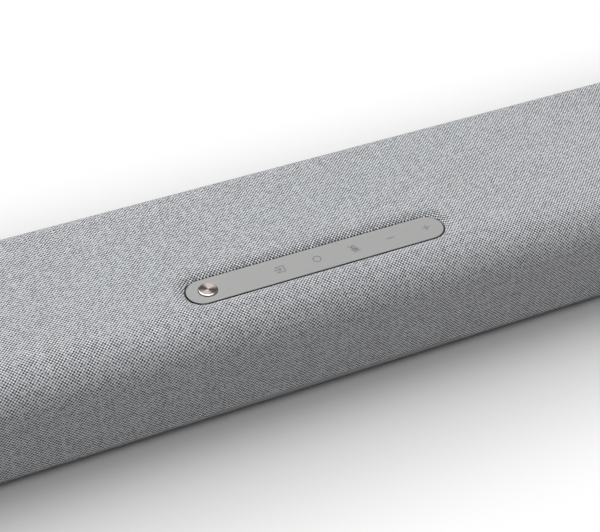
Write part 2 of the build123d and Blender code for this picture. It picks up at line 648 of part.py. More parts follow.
cuts = [place * post(0, 0, 0, HEIGHT_POCKET, HEIGHT_POCKET) for place in heights.values()]
for name, place in places.items():
    length, width = sizes[name]
    opening = 2 * (FIT_GAP - BASKET_INSET)
    cuts.append(place * plate(length + opening, width + opening, -BASKET_DEPTH, 0))
    cuts += [place * post(x, y, -SCREW_LENGTH, 0, SCREW_HOLE) for x, y in ears(length, width)]
cuts += [post(x, y, BAFFLE_UNDER, BAFFLE_TOP, SCREW_HOLE) for x, y in boss_places]
ribbon = (RIBBON_X - RIBBON_WIDTH / 2, RIBBON_X + RIBBON_WIDTH / 2)
ribbon_way = block((ribbon[0] - SLIDE_GAP, ribbon[1] + SLIDE_GAP),
                   (STRIP_Y - 2 * RIBBON_THICK, STRIP_Y + 2 * RIBBON_THICK), (BAFFLE_UNDER, TRAY_INSIDE))
baffle -= cuts + [ribbon_way]
save("speaker_baffle", baffle)

# Drivers
spiders = []
screws = []
fixing = screw(SCREW_RADIUS, SCREW_HEAD_RADIUS, SCREW_HEAD, SCREW_LENGTH)
for name, place in places.items():
    length, width = sizes[name]
    save(f"{name}_frame", place * driver_frame(length, width))
    save(f"{name}_motor", place * driver_motor())
    save(f"{name}_cone", place * driver_cone(length, width))
    save(f"{name}_surround", place * driver_surround(length, width))
    spiders.append(place * driver_spider())
    screws += [place * Pos(x, y, FLANGE) * fixing for x, y in ears(length, width)]
save("driver_spiders", spiders)
screws += [Pos(x, y, BAFFLE_TOP) * fixing for x, y in boss_places]
screws += [Pos(x, y, BOARD_TOP) * fixing for x, y in standoffs]
save("inner_screws", screws)
fixing = Rot(180, 0, 0) * screw(SCREW_RADIUS, COVER_HEAD_RADIUS, COVER_HEAD, COVER_SCREW_LENGTH)
save("cover_screws", [Pos(x, y, BASE_LOW + COVER_HEAD + FIT_GAP) * fixing for x, y in towers])

# Control strip: cover, tray, touch film, board, switch and button
button_hole = BUTTON_DIAMETER / 2 + SLIDE_GAP
cover = strip(0, COVER_UNDER, COVER_TOP)
cover = fillet(cover.faces().sort_by(Axis.Z)[-1].edges(), COVER_EDGE)
save("control_cover", cover - post(BUTTON_X, STRIP_Y, COVER_UNDER, COVER_TOP, button_hole))
tray = strip(TRAY_RIM, TRAY_BASE, RIM_TOP) + strip(TRAY_RIM + TRAY_FLANGE, PAD_UNDER - TRAY_FLOOR, PAD_UNDER)
tray -= [strip(-TRAY_LEDGE, TRAY_INSIDE, COVER_UNDER), strip(FIT_GAP, COVER_UNDER, RIM_TOP), ribbon_way]
tray += [post(x, STRIP_Y, TRAY_INSIDE, CONTROL_UNDER, CONTROL_POST_RADIUS) for x in CONTROL_POSTS]
save("control_tray", tray)
save("control_board", strip(-TRAY_LEDGE - FIT_GAP, CONTROL_UNDER, CONTROL_TOP))
save("touch_film", block((BUTTON_X + FILM_START, STRIP_LENGTH / 2 - FILM_END),
                         (STRIP_Y - FILM_WIDTH / 2, STRIP_Y + FILM_WIDTH / 2),
                         (COVER_UNDER - FILM_THICK, COVER_UNDER)))
switch_top = CONTROL_TOP + SWITCH_HEIGHT
half = SWITCH_SIZE / 2
switch = block((BUTTON_X - half, BUTTON_X + half), (STRIP_Y - half, STRIP_Y + half),
               (CONTROL_TOP, switch_top))
bore = PLUNGER_DIAMETER / 2 + SLIDE_GAP
save("power_switch", switch - post(BUTTON_X, STRIP_Y, CONTROL_TOP + SWITCH_FLOOR, switch_top, bore))
plunger_low = CONTROL_TOP + SWITCH_FLOOR + BUTTON_TRAVEL + SCREW_GAP
save("switch_plunger", post(BUTTON_X, STRIP_Y, plunger_low, PLUNGER_TOP, PLUNGER_DIAMETER / 2))
button_top = COVER_TOP + BUTTON_RISE
cap_radius = BUTTON_DIAMETER / 2
button = post(BUTTON_X, STRIP_Y, COVER_UNDER, button_top, cap_radius)
button = chamfer(button.faces().sort_by(Axis.Z)[-1].edges(), BUTTON_DISH)
ball = ((cap_radius - 2 * BUTTON_DISH) ** 2 + BUTTON_DISH ** 2) / (2 * BUTTON_DISH)
button -= Pos(BUTTON_X, STRIP_Y, button_top - BUTTON_DISH + ball) * Sphere(ball)
collar_low = COVER_UNDER - COLLAR_THICK
button += post(BUTTON_X, STRIP_Y, collar_low, COVER_UNDER, button_hole + BUTTON_COLLAR)
button += post(BUTTON_X, STRIP_Y, PLUNGER_TOP, collar_low, STEM_DIAMETER / 2)
save("power_button", button)
save("control_ribbon", block(ribbon, (STRIP_Y - RIBBON_THICK / 2, STRIP_Y + RIBBON_THICK / 2),
                             (BOARD_TOP + RIBBON_PLUG, CONTROL_UNDER)))

# Indicator window, its board and lamps
glow = front_stadium(WINDOW_LENGTH, WINDOW_HEIGHT, FRONT, FRONT + BASE_RADIUS, WINDOW_Z)
save("indicator_window", (envelope(0) - envelope(inside)) & glow)
lamp_back = BAFFLE_FRONT - LAMP_POST
lamp_face = lamp_back - LAMP_BOARD_THICK
save("indicator_board", block((-LAMP_BOARD_LENGTH / 2, LAMP_BOARD_LENGTH / 2), (lamp_face, lamp_back),
                              (WINDOW_Z, WINDOW_Z + LAMP_BOARD_HEIGHT)))
lamps = [(x, LAMP_SIZE) for x in LAMPS] + [(SENSOR_X, SENSOR_SIZE)]
save("indicator_lamps", [block((x - size / 2, x + size / 2), (lamp_face - LAMP_HEIGHT, lamp_face),
                               (WINDOW_Z, WINDOW_Z + size)) for x, size in lamps])

# Boards with their parts, heat sink and connectors
holes = [post(x, y, BOARD_UNDER, BOARD_TOP, SCREW_HOLE) for x, y in standoffs]
for name, side in (("power_board", -1), ("main_board", 1)):
    limits = sorted((side * BOARD_START, side * BOARD_END))
    save(name, block(limits, (BOARD_FRONT, BOARD_REAR), (BOARD_UNDER, BOARD_TOP)) - holes)
processor = (*PROCESSOR, PROCESSOR_SIZE, PROCESSOR_SIZE, PROCESSOR_HEIGHT)
ribbon_plug = (RIBBON_X, STRIP_Y - BOARD_FRONT, RIBBON_WIDTH + 2 * SOCKET_WALL, 4 * SOCKET_WALL, RIBBON_PLUG)
save("main_board_parts", soldered(MAIN_BLOCKS + [processor, ribbon_plug], MAIN_CANS))
save("power_board_parts", soldered(POWER_BLOCKS, POWER_CANS))
sink_low = BOARD_TOP + PROCESSOR_HEIGHT
sink_x = (PROCESSOR[0] - SINK_SIZE / 2, PROCESSOR[0] + SINK_SIZE / 2)
sink_middle = BOARD_FRONT + PROCESSOR[1]
sink_y = (sink_middle - SINK_SIZE / 2, sink_middle + SINK_SIZE / 2)
sink = block(sink_x, sink_y, (sink_low, sink_low + SINK_BASE))
fins = [(index - (FIN_COUNT - 1) / 2) * FIN_PITCH + PROCESSOR[0] for index in range(FIN_COUNT)]
sink += [block((x - FIN / 2, x + FIN / 2), sink_y, (sink_low + SINK_BASE, sink_low + SINK_BASE + FIN_HEIGHT))
         for x in fins]
save("heat_sink", sink)
plate_x = (bay_out[0] - PLATE_EDGE, bay_out[1] + PLATE_EDGE)
connector_plate = block(plate_x, (BAY_FLOOR - PLATE, BAY_FLOOR),
                        (BAY_LOW - BAY_WALL, BAY_TOP + BAY_WALL + PLATE_EDGE))
for name, (x, width, height, wall) in SOCKETS.items():
    save(name, socket(name))
    half = width / 2 + FIT_GAP
    connector_plate -= block((x - half, x + half), (BAY_FLOOR - PLATE, BAY_FLOOR),
                             (BOARD_TOP - FIT_GAP, BOARD_TOP + height + FIT_GAP))
save("connector_plate", connector_plate)

# Damping wadding behind the front drivers
wadding = (INNER_WALL + WADDING_GAP, OUTER_WALL - WADDING_GAP)
wadding_depth = (BAFFLE_FRONT + MOTOR_DEPTH + WADDING_GAP, pocket_front - KEYHOLE_PLATE - WADDING_GAP)
save("damping_wadding", [block(sorted(side * x for x in wadding), wadding_depth,
                               (BASE_TOP, BAFFLE_UNDER - WADDING_GAP)) for side in (-1, 1)])
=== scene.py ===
import json
from math import cos, hypot, pi, radians, sin

import bpy
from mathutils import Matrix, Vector


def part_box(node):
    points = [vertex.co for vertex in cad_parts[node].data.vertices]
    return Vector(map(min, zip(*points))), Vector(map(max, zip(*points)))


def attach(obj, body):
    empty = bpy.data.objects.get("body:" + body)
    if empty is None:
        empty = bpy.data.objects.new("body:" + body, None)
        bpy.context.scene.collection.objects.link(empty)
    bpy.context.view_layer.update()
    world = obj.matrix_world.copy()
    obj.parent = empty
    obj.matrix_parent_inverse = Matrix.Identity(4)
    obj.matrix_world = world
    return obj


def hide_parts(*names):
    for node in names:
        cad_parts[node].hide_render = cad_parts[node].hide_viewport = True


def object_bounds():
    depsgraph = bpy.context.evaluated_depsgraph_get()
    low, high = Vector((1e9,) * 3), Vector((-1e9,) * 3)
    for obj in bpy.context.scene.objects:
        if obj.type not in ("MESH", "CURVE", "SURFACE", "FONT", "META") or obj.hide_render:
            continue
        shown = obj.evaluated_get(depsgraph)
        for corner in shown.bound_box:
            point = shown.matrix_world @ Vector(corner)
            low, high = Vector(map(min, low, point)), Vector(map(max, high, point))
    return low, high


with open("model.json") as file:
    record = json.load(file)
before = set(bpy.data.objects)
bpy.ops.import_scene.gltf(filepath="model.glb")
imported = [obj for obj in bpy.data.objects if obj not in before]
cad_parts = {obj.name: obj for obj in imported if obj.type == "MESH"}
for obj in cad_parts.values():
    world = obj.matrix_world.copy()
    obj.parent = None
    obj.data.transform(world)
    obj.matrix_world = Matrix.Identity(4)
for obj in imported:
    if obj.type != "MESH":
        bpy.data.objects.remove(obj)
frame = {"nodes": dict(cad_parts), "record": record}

bl_info = {
    "name": "Fabric Soundbar",
    "version": (1, 0, 0),
    "blender": (4, 5, 0),
    "location": "3D View > Sidebar > Soundbar",
    "description": "Fabric cover, control strip, button, finishes and studio for a soundbar",
    "category": "Object",
}

CAD_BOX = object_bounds()
COVER_LOW, COVER_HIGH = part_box("fabric_sleeve")
STRIP_LOW, STRIP_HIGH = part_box("control_cover")
BUTTON_LOW, BUTTON_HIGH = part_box("power_button")
WINDOW_LOW, WINDOW_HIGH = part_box("indicator_window")
MIDDLE = (STRIP_LOW + STRIP_HIGH) / 2
AXIS = (BUTTON_LOW + BUTTON_HIGH) / 2
STRIP_RADIUS = (STRIP_HIGH.y - STRIP_LOW.y) / 2
STRIP_RUN = (STRIP_HIGH.x - STRIP_LOW.x) / 2 - STRIP_RADIUS
MM = 0.001
CLOSE = 1e-6

# Steps of the cover's mesh
BASE_TURN = range(0, 91, 10)
END_TURN = range(9, 91, 9)
WALL_STEPS = 8
BEND_STEPS = 16
REAR_STEPS = 7
TOP_STEP = 3.0 * MM
STRIP_STEPS = 16
SIDE_STEPS = 12

# Patch of the cover round the control strip, with plain numbers in millimetres out from it
PATCH_FRONT_ROWS = 6
PATCH_REAR = 22.0 * MM
PATCH_INNER = (2.2, 4.4)
PATCH_OUTER = (10.3, 13.0, 15.6, 18.0, 20.4, 22.7, 25.0)
LIP = ((0.0, 0.72), (0.0, 0.40), (0.08, 0.15), (0.30, 0.02))
DISH_RINGS = (0.7, 1.3, 2.0, 2.8, 3.6, 4.4, 5.2, 6.0, 7.0, 8.0)
DISH_SOFT = 0.3 * MM

# Lamps: name, turn and rise in degrees, and size
LAMPS = (("top", 180.0, 81.0, 2.8), ("key", -2.0, 69.0, 1.4), ("rear", -28.0, 50.0, 1.4),
         ("front", 190.0, 52.0, 1.4))
LAMP_REACH = 2.2
FLOOR_SIZE = 12.0
SENSOR_WIDTH = 36.0


# Settings

def length(name, description, default):
    """Length that a user may change."""
    return bpy.props.FloatProperty(name=name, description=description, default=default,
                                   min=0.0, precision=5, unit="LENGTH")


def angle(name, description, default):
    """Angle that a user may change, given in degrees."""
    return bpy.props.FloatProperty(name=name, description=description, default=radians(default),
                                   subtype="ANGLE")


def amount(name, description, default, most=1.0):
    """Plain number that a user may change."""
    return bpy.props.FloatProperty(name=name, description=description, default=default,
                                   min=0.0, max=most)


def colour(name, description, *default):
    """Colour that a user may change."""
    return bpy.props.FloatVectorProperty(name=name, description=description, default=default,
                                         min=0.0, max=1.0, size=3, subtype="COLOR")


class CoverSettings(bpy.types.PropertyGroup):
    """Fabric cover."""
    front_round: length("Front edge", "Radius of the long front edge", 21.0 * MM)
    end_round: length("End edges", "Radius of the edges round both ends", 18.0 * MM)
    rear_round: length("Rear edges", "Radius of the rear edges", 8.0 * MM)
    base_round: length("Base edges", "Radius of the edges under the bar", 6.5 * MM)
    hem: length("Hem", "How far the fabric turns in at the back and the base", 11.0 * MM)
    thick: length("Thickness", "Thickness of the fabric", 0.7 * MM)
    groove: length("Groove", "Gap between the control strip and the fabric", 0.9 * MM)
    dish_width: length("Dish width", "Width of the hollow around the control strip", 6.5 * MM)
    dish_rear: length("Dish at the rear", "Depth of the hollow behind the control strip", 1.7 * MM)
    dish_front: length("Dish at the front", "Depth of the hollow before the control strip", 1.0 * MM)
    # Painted shade: how far behind the control strip the weave is darkened
    pull: length("Pull", "How far behind the control strip the weave is drawn open", 8.5 * MM)
    window_gap: length("Window gap", "Gap round the indicator window", 0.2 * MM)
    pitch: length("Thread pitch", "Distance from thread to thread", 0.9 * MM)
    light: colour("Light yarn", "Colour of the light yarn", 0.94, 0.955, 0.985)
    middle: colour("Grey yarn", "Colour of the grey yarn", 0.48, 0.495, 0.52)
    dark: colour("Dark yarn", "Colour of the dark yarn", 0.05, 0.052, 0.058)


class StripSettings(bpy.types.PropertyGroup):
    """Control strip and the marks on it."""
    edge: length("Edge", "Radius of the strip's upper edge", 0.3 * MM)
    lip: length("Hole lip", "Bevel round the button's hole", 0.12 * MM)
    hole: length("Hole", "Radius of the button's hole", 5.0 * MM)
    tone: colour("Strip", "Colour of the satin plastic", 0.388, 0.387, 0.385)
    # Painted shade: the strip's side in the groove is coloured near black
    wall: colour("Strip wall", "Colour of the strip's side in the groove", 0.045, 0.045, 0.047)
    ink: colour("Marks", "Colour of the printed marks", 0.20, 0.20, 0.20)
    line: length("Line", "Width of the lines of the marks", 0.55 * MM)
    first: length("First mark", "From the button's axis to the first mark", 38.0 * MM)
    step: length("Mark pitch", "Distance from mark to mark", 20.5 * MM)


class ButtonSettings(bpy.types.PropertyGroup):
    """Push button."""
    radius: length("Radius", "Radius of the button's cap", 4.7 * MM)
    chamfer: length("Chamfer", "Bright chamfer round the rim", 0.35 * MM)
    rim: length("Rim", "Flat rim inside the chamfer", 0.25 * MM)
    dish: length("Dish", "Depth of the hollow in the cap", 0.10 * MM)
    collar: length("Collar", "Radius of the collar under the strip", 6.0 * MM)
    collar_thick: length("Collar thickness", "Thickness of the collar", 0.8 * MM)
    stem: length("Stem", "Radius of the stem", 1.5 * MM)
    metal: colour("Metal", "Colour of the spun metal", 0.39, 0.325, 0.31)
    bright: colour("Chamfer", "Colour of the polished chamfer", 0.80, 0.74, 0.71)
    spin: amount("Spin", "How strongly the turning marks stretch the highlight", 0.97)
    rough: amount("Roughness", "Roughness of the spun metal", 0.36)
    polish: amount("Polish", "Roughness of the chamfer", 0.16)


class StageSettings(bpy.types.PropertyGroup):
    """Floor, lights and camera."""
    # Painted shadow: the floor is this grey near the bar, within the shadow ground, and fades to white by the
    # white ground
    floor: colour("Floor", "Colour of the floor", 0.60, 0.60, 0.60)
    near: length("Shadow ground", "How far the floor keeps its own tone, from the bar", 0.0)
    far: length("White ground", "Where the floor has faded to white, from the bar", 0.12)
    bounce: colour("Floor bounce", "Colour of the light that the floor throws back", 0.46, 0.46, 0.46)
    top: amount("Top light", "Power of the light above the bar, in watts", 25.0, 500.0)
    key: amount("Key light", "Power of the light high behind the bar, in watts", 16.4, 500.0)
    rear: amount("Rear light", "Power of the light low behind the bar, in watts", 11.4, 500.0)
    front: amount("Front light", "Power of the light in front of the bar, in watts", 2.8, 500.0)
    fill: amount("Fill", "Level of the light from all round", 0.11, 5.0)
    lens: amount("Lens", "Focal length in millimetres", 87.1, 300.0)
    distance: length("Distance", "From the camera to its aim", 0.72406)
    azimuth: angle("Azimuth", "Turn of the camera to the left of the front", 23.49)
    elevation: angle("Elevation", "Height of the camera above the horizon", 41.19)
    aim: bpy.props.FloatVectorProperty(name="Aim", description="Point that the camera looks at",
                                       default=(-0.0107, -0.0278, 0.0624), size=3, unit="LENGTH")


# Shader maths

class Shade:
    """One socket of a node tree, for shader maths written as expressions."""

    def __init__(self, tree, socket=None):
        self.tree = tree
        self.socket = socket

    def node(self, kind, settings=None, inputs=None, out=0):
        """Adds a node, with its settings first and then its sockets' values or links."""
        made = self.tree.nodes.new("ShaderNode" + kind)
        for key, value in (settings or {}).items():
            if key != "stops":
                setattr(made, key, value)
                continue
            stops = made.color_ramp.elements
            while len(stops) < len(value):
                stops.new(1.0)
            for stop, (place, tone) in zip(stops, value):
                stop.position = place
                stop.color = (*tone, 1.0)
        for key, value in (inputs or {}).items():
            self.feed(made, key, value)
        return Shade(self.tree, made.outputs[out])

    def feed(self, node, key, value):
        """Links a socket to a value, or sets it."""
        if isinstance(value, Shade):
            self.tree.links.new(value.socket, node.inputs[key])
        else:
            node.inputs[key].default_value = value

    def math(self, operation, *values):
        return self.node("Math", {"operation": operation}, dict(enumerate(values)))

    def vector(self, operation, inputs, out=0):
        return self.node("VectorMath", {"operation": operation}, inputs, out)

    def mix(self, one, other, factor):
        """Colour between two colours."""
        return self.node("Mix", {"data_type": "RGBA"}, {0: factor, 6: one, 7: other}, 2)

    def place(self, kind="Object"):
        """Coordinates of the point that is shaded."""
        return self.node("TexCoord", None, None, kind)

    def part(self, axis):
        """One coordinate of a vector: 0, 1 or 2."""
        return self.node("SeparateXYZ", None, {0: self}, axis)

    def beyond(self, half):
        """Distance of a place from a box about the origin, given by half of its sides."""
        past = self.vector("SUBTRACT", {0: self.vector("ABSOLUTE", {0: self}), 1: half})
        return self.vector("LENGTH", {0: self.vector("MAXIMUM", {0: past, 1: (0.0, 0.0, 0.0)})}, "Value")

    def ramp(self, start, end):
        """Smooth step from 0 at the start to 1 at the end."""
        return self.node("MapRange", {"interpolation_type": "SMOOTHSTEP"},
                         {"Value": self, "From Min": start, "From Max": end})

    def __add__(self, other):
        return self.math("ADD", self, other)

    def __radd__(self, other):
        return self.math("ADD", other, self)

    def __sub__(self, other):
        return self.math("SUBTRACT", self, other)

    def __rsub__(self, other):
        return self.math("SUBTRACT", other, self)

    def __mul__(self, other):
        return self.math("MULTIPLY", self, other)

    def __rmul__(self, other):
        return self.math("MULTIPLY", other, self)


def finish_material(name, **constants):
    """New material with its shader's plain values set: the material, its shader and a Shade."""
    made = bpy.data.materials.new(name)
    made.use_nodes = True
    shader = made.node_tree.nodes["Principled BSDF"]
    for key, value in constants.items():
        shader.inputs[key.replace("_", " ")].default_value = value
    return made, shader, Shade(made.node_tree)


def opaque(tone):
    """Colour with its fourth value."""
    return (*tone, 1.0)


def painted_rear_shade(kit, c):
    """How much painted shade darkens the weave, from 0 to 1, where the cover is drawn down behind the control
    strip.
    """
    any_height = 1.0
    fades_out = -0.3 * STRIP_RADIUS
    beside = kit.vector("SUBTRACT", {0: kit.place(), 1: MIDDLE})
    away = beside.beyond((STRIP_RUN, 0.0, any_height))
    close = away.ramp(STRIP_RADIUS + c.pull, STRIP_RADIUS + c.groove)
    return close * beside.part(1).ramp(fades_out, STRIP_RADIUS)


def weave(c):
    """Plain weave of mixed grey yarns on the cover's own map."""
    made, shader, kit = finish_material("cover_weave", Sheen_Weight=0.15, Sheen_Roughness=0.5)
    # How far threads stray, as a share of the pitch, and how fine the stray and the slubs are
    stray, stray_scale, slub_scale, detail = 0.55, 240.0, 420.0, 3.0
    # How flat a thread lies along itself
    flatness = 0.5
    # Tone of a thread that goes under, what going over adds, and what the painted shade behind the strip
    # takes
    under, lift, rear_shade = 0.10, 0.92, 0.26
    # Spread of the tone by crossing, by thread and along a thread
    by_crossing, by_thread, by_slub = 0.44, 0.10, 0.10
    # How narrow the gaps between threads are, the painted shade in them and their roughness, and how much
    # smoother a crown is
    narrow, gap_shade, gap_rough, smoother = 0.09, 0.30, 0.92, 0.14
    # Relief of a thread that goes under, what going over adds, and how uneven the crossings are
    low, rise, uneven = 0.6, 0.4, 0.2

    # Threads that stray a little, and the cell of the weave that a point is in
    flat = kit.node("UVMap", {"uv_map": "Weave"})
    sway = kit.node("TexNoise", {"noise_dimensions": "2D"},
                    {"Vector": flat, "Scale": stray_scale, "Detail": detail}, "Color")
    sway = kit.vector("SUBTRACT", {0: sway, 1: (0.5, 0.5, 0.5)})
    sway = kit.vector("SCALE", {0: sway, "Scale": stray * c.pitch})
    threads = kit.vector("ADD", {0: flat, 1: sway})
    threads = kit.vector("SCALE", {0: threads, "Scale": 1.0 / c.pitch})
    cell = kit.vector("FLOOR", {0: threads})
    inside = kit.vector("SUBTRACT", {0: threads, 1: cell})
    column, line = cell.part(0), cell.part(1)
    across = inside.part(0) * 2.0 - 1.0
    along = inside.part(1) * 2.0 - 1.0

    # Which thread is over the other, and how high its crown is
    over = kit.math("FLOORED_MODULO", column + line, 2.0)
    crown = 1.0 - across * across * (1.0 - over * flatness)
    crown = crown * (1.0 - along * along * (1.0 - flatness + over * flatness))

    # Tone of the yarn, which varies by crossing, by thread and along the thread, with painted shade behind
    # the strip
    single = kit.node("TexWhiteNoise", {"noise_dimensions": "2D"}, {"Vector": cell})
    warp = kit.node("TexWhiteNoise", {"noise_dimensions": "1D"}, {"W": column})
    weft = kit.node("TexWhiteNoise", {"noise_dimensions": "1D"}, {"W": line + 0.5})
    yarn = warp + (weft - warp) * over
    slub = kit.node("TexNoise", {"noise_dimensions": "2D"},
                    {"Vector": flat, "Scale": slub_scale, "Detail": detail})
    tone = under + over * lift + (single - 0.5) * by_crossing
    # Painted shade darkens the tone behind the control strip
    tone = tone + (yarn - 0.5) * by_thread + (slub - 0.5) * by_slub - painted_rear_shade(kit, c) * rear_shade
    stops = [(0.0, c.dark), (0.5, c.middle), (1.0, c.light)]
    yarns = kit.node("ValToRGB", {"stops": stops}, {"Fac": tone})
    # Painted shade: the gaps between threads darken towards a share of the dark yarn
    gap = kit.math("POWER", crown, narrow)
    kit.feed(shader, "Base Color", kit.mix(opaque(t * gap_shade for t in c.dark), yarns, gap))
    kit.feed(shader, "Roughness", gap_rough - crown * smoother)
    height = crown * (low + over * rise) + single * uneven
    relief = kit.node("Bump", None, {"Strength": 0.9, "Distance": 0.28 * MM, "Height": height})
    kit.feed(shader, "Normal", relief)
    return made


def grained(name, tone, grain, rough, relief, spread=0.10, stretch=(1.0, 1.0, 1.0), wall=None,
            **constants):
    """Surface with a fine grain: tone and roughness vary a little, and the grain has relief.
    A wall paints shade below a height, in another, darker tone."""
    made, shader, kit = finish_material(name, **constants)
    # How much coarser the wide noise is, the fine noise's share of the tone, and the roughness's swing
    coarser, fine_share, swing = 40.0, 0.6, 0.12
    place = kit.node("Mapping", None, {"Vector": kit.place(), "Scale": stretch})
    fine = kit.node("TexNoise", None, {"Vector": place, "Scale": grain, "Detail": 4.0, "Roughness": 0.6})
    wide = kit.node("TexNoise", None, {"Vector": place, "Scale": grain / coarser, "Detail": 2.0})
    low = opaque(t * (1.0 - spread) for t in tone)
    high = opaque(min(1.0, t * (1.0 + spread)) for t in tone)
    shade = kit.mix(low, high, fine * fine_share + wide * (1.0 - fine_share))
    # Painted shade: below the height the tone turns to the wall's dark colour
    if wall:
        dark, limit = wall
        shade = kit.mix(shade, opaque(dark), kit.math("LESS_THAN", kit.place().part(2), limit))
    kit.feed(shader, "Base Color", shade)
    kit.feed(shader, "Roughness", rough - swing / 2 + fine * swing)
    bump = kit.node("Bump", None, {"Strength": 0.35, "Distance": relief, "Height": fine})
    kit.feed(shader, "Normal", bump)
    return made


def laminate(name, tone):
    """Lacquered circuit board with fine copper tracks under the lacquer."""
    made, shader, kit = finish_material(name, Coat_Roughness=0.2)
    darker, brighter = 0.8, 1.9
    rough, rough_swing, coat, coat_swing = 0.30, 0.15, 0.3, 0.2
    place = kit.place()
    bricks = {"Vector": place, "Scale": 90.0, "Mortar Size": 0.018, "Color1": opaque(tone),
              "Color2": opaque(t * darker for t in tone), "Mortar": opaque(t * brighter for t in tone)}
    tracks = kit.node("TexBrick", {"offset": 0.37, "squash": 0.6}, bricks)
    noise = kit.node("TexNoise", None, {"Vector": place, "Scale": 700.0})
    kit.feed(shader, "Base Color", tracks)
    kit.feed(shader, "Roughness", rough + noise * rough_swing)
    kit.feed(shader, "Coat Weight", coat + noise * coat_swing)
    return made


def spun(b):
    """Copper-coloured metal, turned on a lathe and dyed."""
    made, shader, kit = finish_material("spun_copper", Metallic=1.0, Anisotropic=b.spin,
                                        Anisotropic_Rotation=0.25)
    # Fineness of the turning marks, the swing of tone and roughness, and the play at the chamfer
    fineness, spread, swing, margin = 6000.0, 0.15, 0.10, 0.01 * MM
    place = kit.node("Mapping", None, {"Vector": kit.place(), "Location": (-AXIS.x, -AXIS.y, 0.0)})
    out = kit.vector("LENGTH", {0: kit.vector("MULTIPLY", {0: place, 1: (1.0, 1.0, 0.0)})}, "Value")
    rings = kit.node("TexNoise", {"noise_dimensions": "1D"}, {"W": out, "Scale": fineness, "Detail": 2.0})
    low = opaque(t * (1.0 - spread) for t in b.metal)
    high = opaque(t * (1.0 + spread) for t in b.metal)
    outer = kit.math("LESS_THAN", out, b.radius - margin)
    edge = kit.math("GREATER_THAN", out, b.radius - b.chamfer - 2.0 * margin) * outer
    kit.feed(shader, "Base Color", kit.mix(kit.mix(low, high, rings), opaque(b.bright), edge))
    rough = b.rough - swing / 2 + rings * swing
    kit.feed(shader, "Roughness", rough + (b.polish - rough) * edge)
    return made


# Modelling helpers

def deselect():
    """Object mode with nothing selected."""
    if bpy.context.object and bpy.context.object.mode != "OBJECT":
        bpy.ops.object.mode_set(mode="OBJECT")
    bpy.ops.object.select_all(action="DESELECT")


def only(piece):
    """Makes one object the active and only selected one."""
    deselect()
    piece.select_set(True)
    bpy.context.view_layer.objects.active = piece
    return piece


def named(name):
    """Names the new primitive and puts its place into its mesh."""
    piece = bpy.context.object
    piece.name = piece.data.name = name
    bpy.ops.object.transform_apply(location=True, rotation=True, scale=True)
    return piece


def pick(piece, kind, test):
    """Selects the vertices, edges or faces whose middle passes the test, in edit mode."""
    only(piece)
    bpy.ops.object.mode_set(mode="EDIT")
    bpy.ops.mesh.select_mode(type=kind)
    bpy.ops.mesh.select_all(action="DESELECT")
    bpy.ops.object.mode_set(mode="OBJECT")
    mesh = piece.data
    if kind == "VERT":
        items = [(item, item.co) for item in mesh.vertices]
    elif kind == "EDGE":
        spots = mesh.vertices
        items = [(item, (spots[item.vertices[0]].co + spots[item.vertices[1]].co) / 2) for item in mesh.edges]
    else:
        items = [(item, item.center) for item in mesh.polygons]
    found = 0
    for item, middle in items:
        item.select = bool(test(middle))
        found += item.select
    if not found:
        raise RuntimeError(f"{piece.name}: nothing to select")
    bpy.ops.object.mode_set(mode="EDIT")


def near(value, other, room=0.02 * MM):
    """Whether two lengths are the same, within a little."""
    return abs(value - other) < room


def cleaned(piece):
    """Merges doubles and turns the faces outwards."""
    only(piece)
    bpy.ops.object.mode_set(mode="EDIT")
    bpy.ops.mesh.select_all(action="SELECT")
    bpy.ops.mesh.remove_doubles(threshold=CLOSE)
    bpy.ops.mesh.normals_make_consistent(inside=False)
    bpy.ops.object.mode_set(mode="OBJECT")
    return piece


def modified(piece, kind, **settings):
    """Adds a modifier and applies it."""
    only(piece)
    modifier = piece.modifiers.new(kind.title(), kind)
    for key, value in settings.items():
        setattr(modifier, key, value)
    bpy.ops.object.modifier_apply(modifier=modifier.name)
    return piece


def combined(piece, others, operation):
    """Applies a boolean with other pieces and removes them."""
    for other in others:
        modified(piece, "BOOLEAN", operation=operation, object=other, solver="EXACT")
        mesh = other.data
        bpy.data.objects.remove(other)
        bpy.data.meshes.remove(mesh)
    return piece


def smoothed(piece, degrees=35.0):
    """Smooth shading, with edges kept where the surface turns sharply."""
    only(piece)
    bpy.ops.object.shade_smooth_by_angle(angle=radians(degrees))
    return piece


def dressed(piece, material, body):
    """Gives a piece its finish and the body that carries it."""
    piece.data.materials.clear()
    piece.data.materials.append(material)
    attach(piece, body)
    return piece


def drum(name, x, y, low, high, radius, corners=96):
    """Upright cylinder with no corner on its middle line."""
    deselect()
    bpy.ops.mesh.primitive_cylinder_add(vertices=corners, radius=radius, depth=high - low,
                                        location=(x, y, (low + high) / 2), rotation=(0.0, 0.0, pi / corners))
    return named(name)


def stretched(piece, x, reach):
    """Moves the two halves of a drum apart, which makes it a stadium."""
    for side in (-1, 1):
        pick(piece, "VERT", lambda spot: (spot.x - x) * side > 0)
        bpy.ops.transform.translate(value=(side * reach, 0.0, 0.0))
        bpy.ops.object.mode_set(mode="OBJECT")
    return piece


# Fabric cover

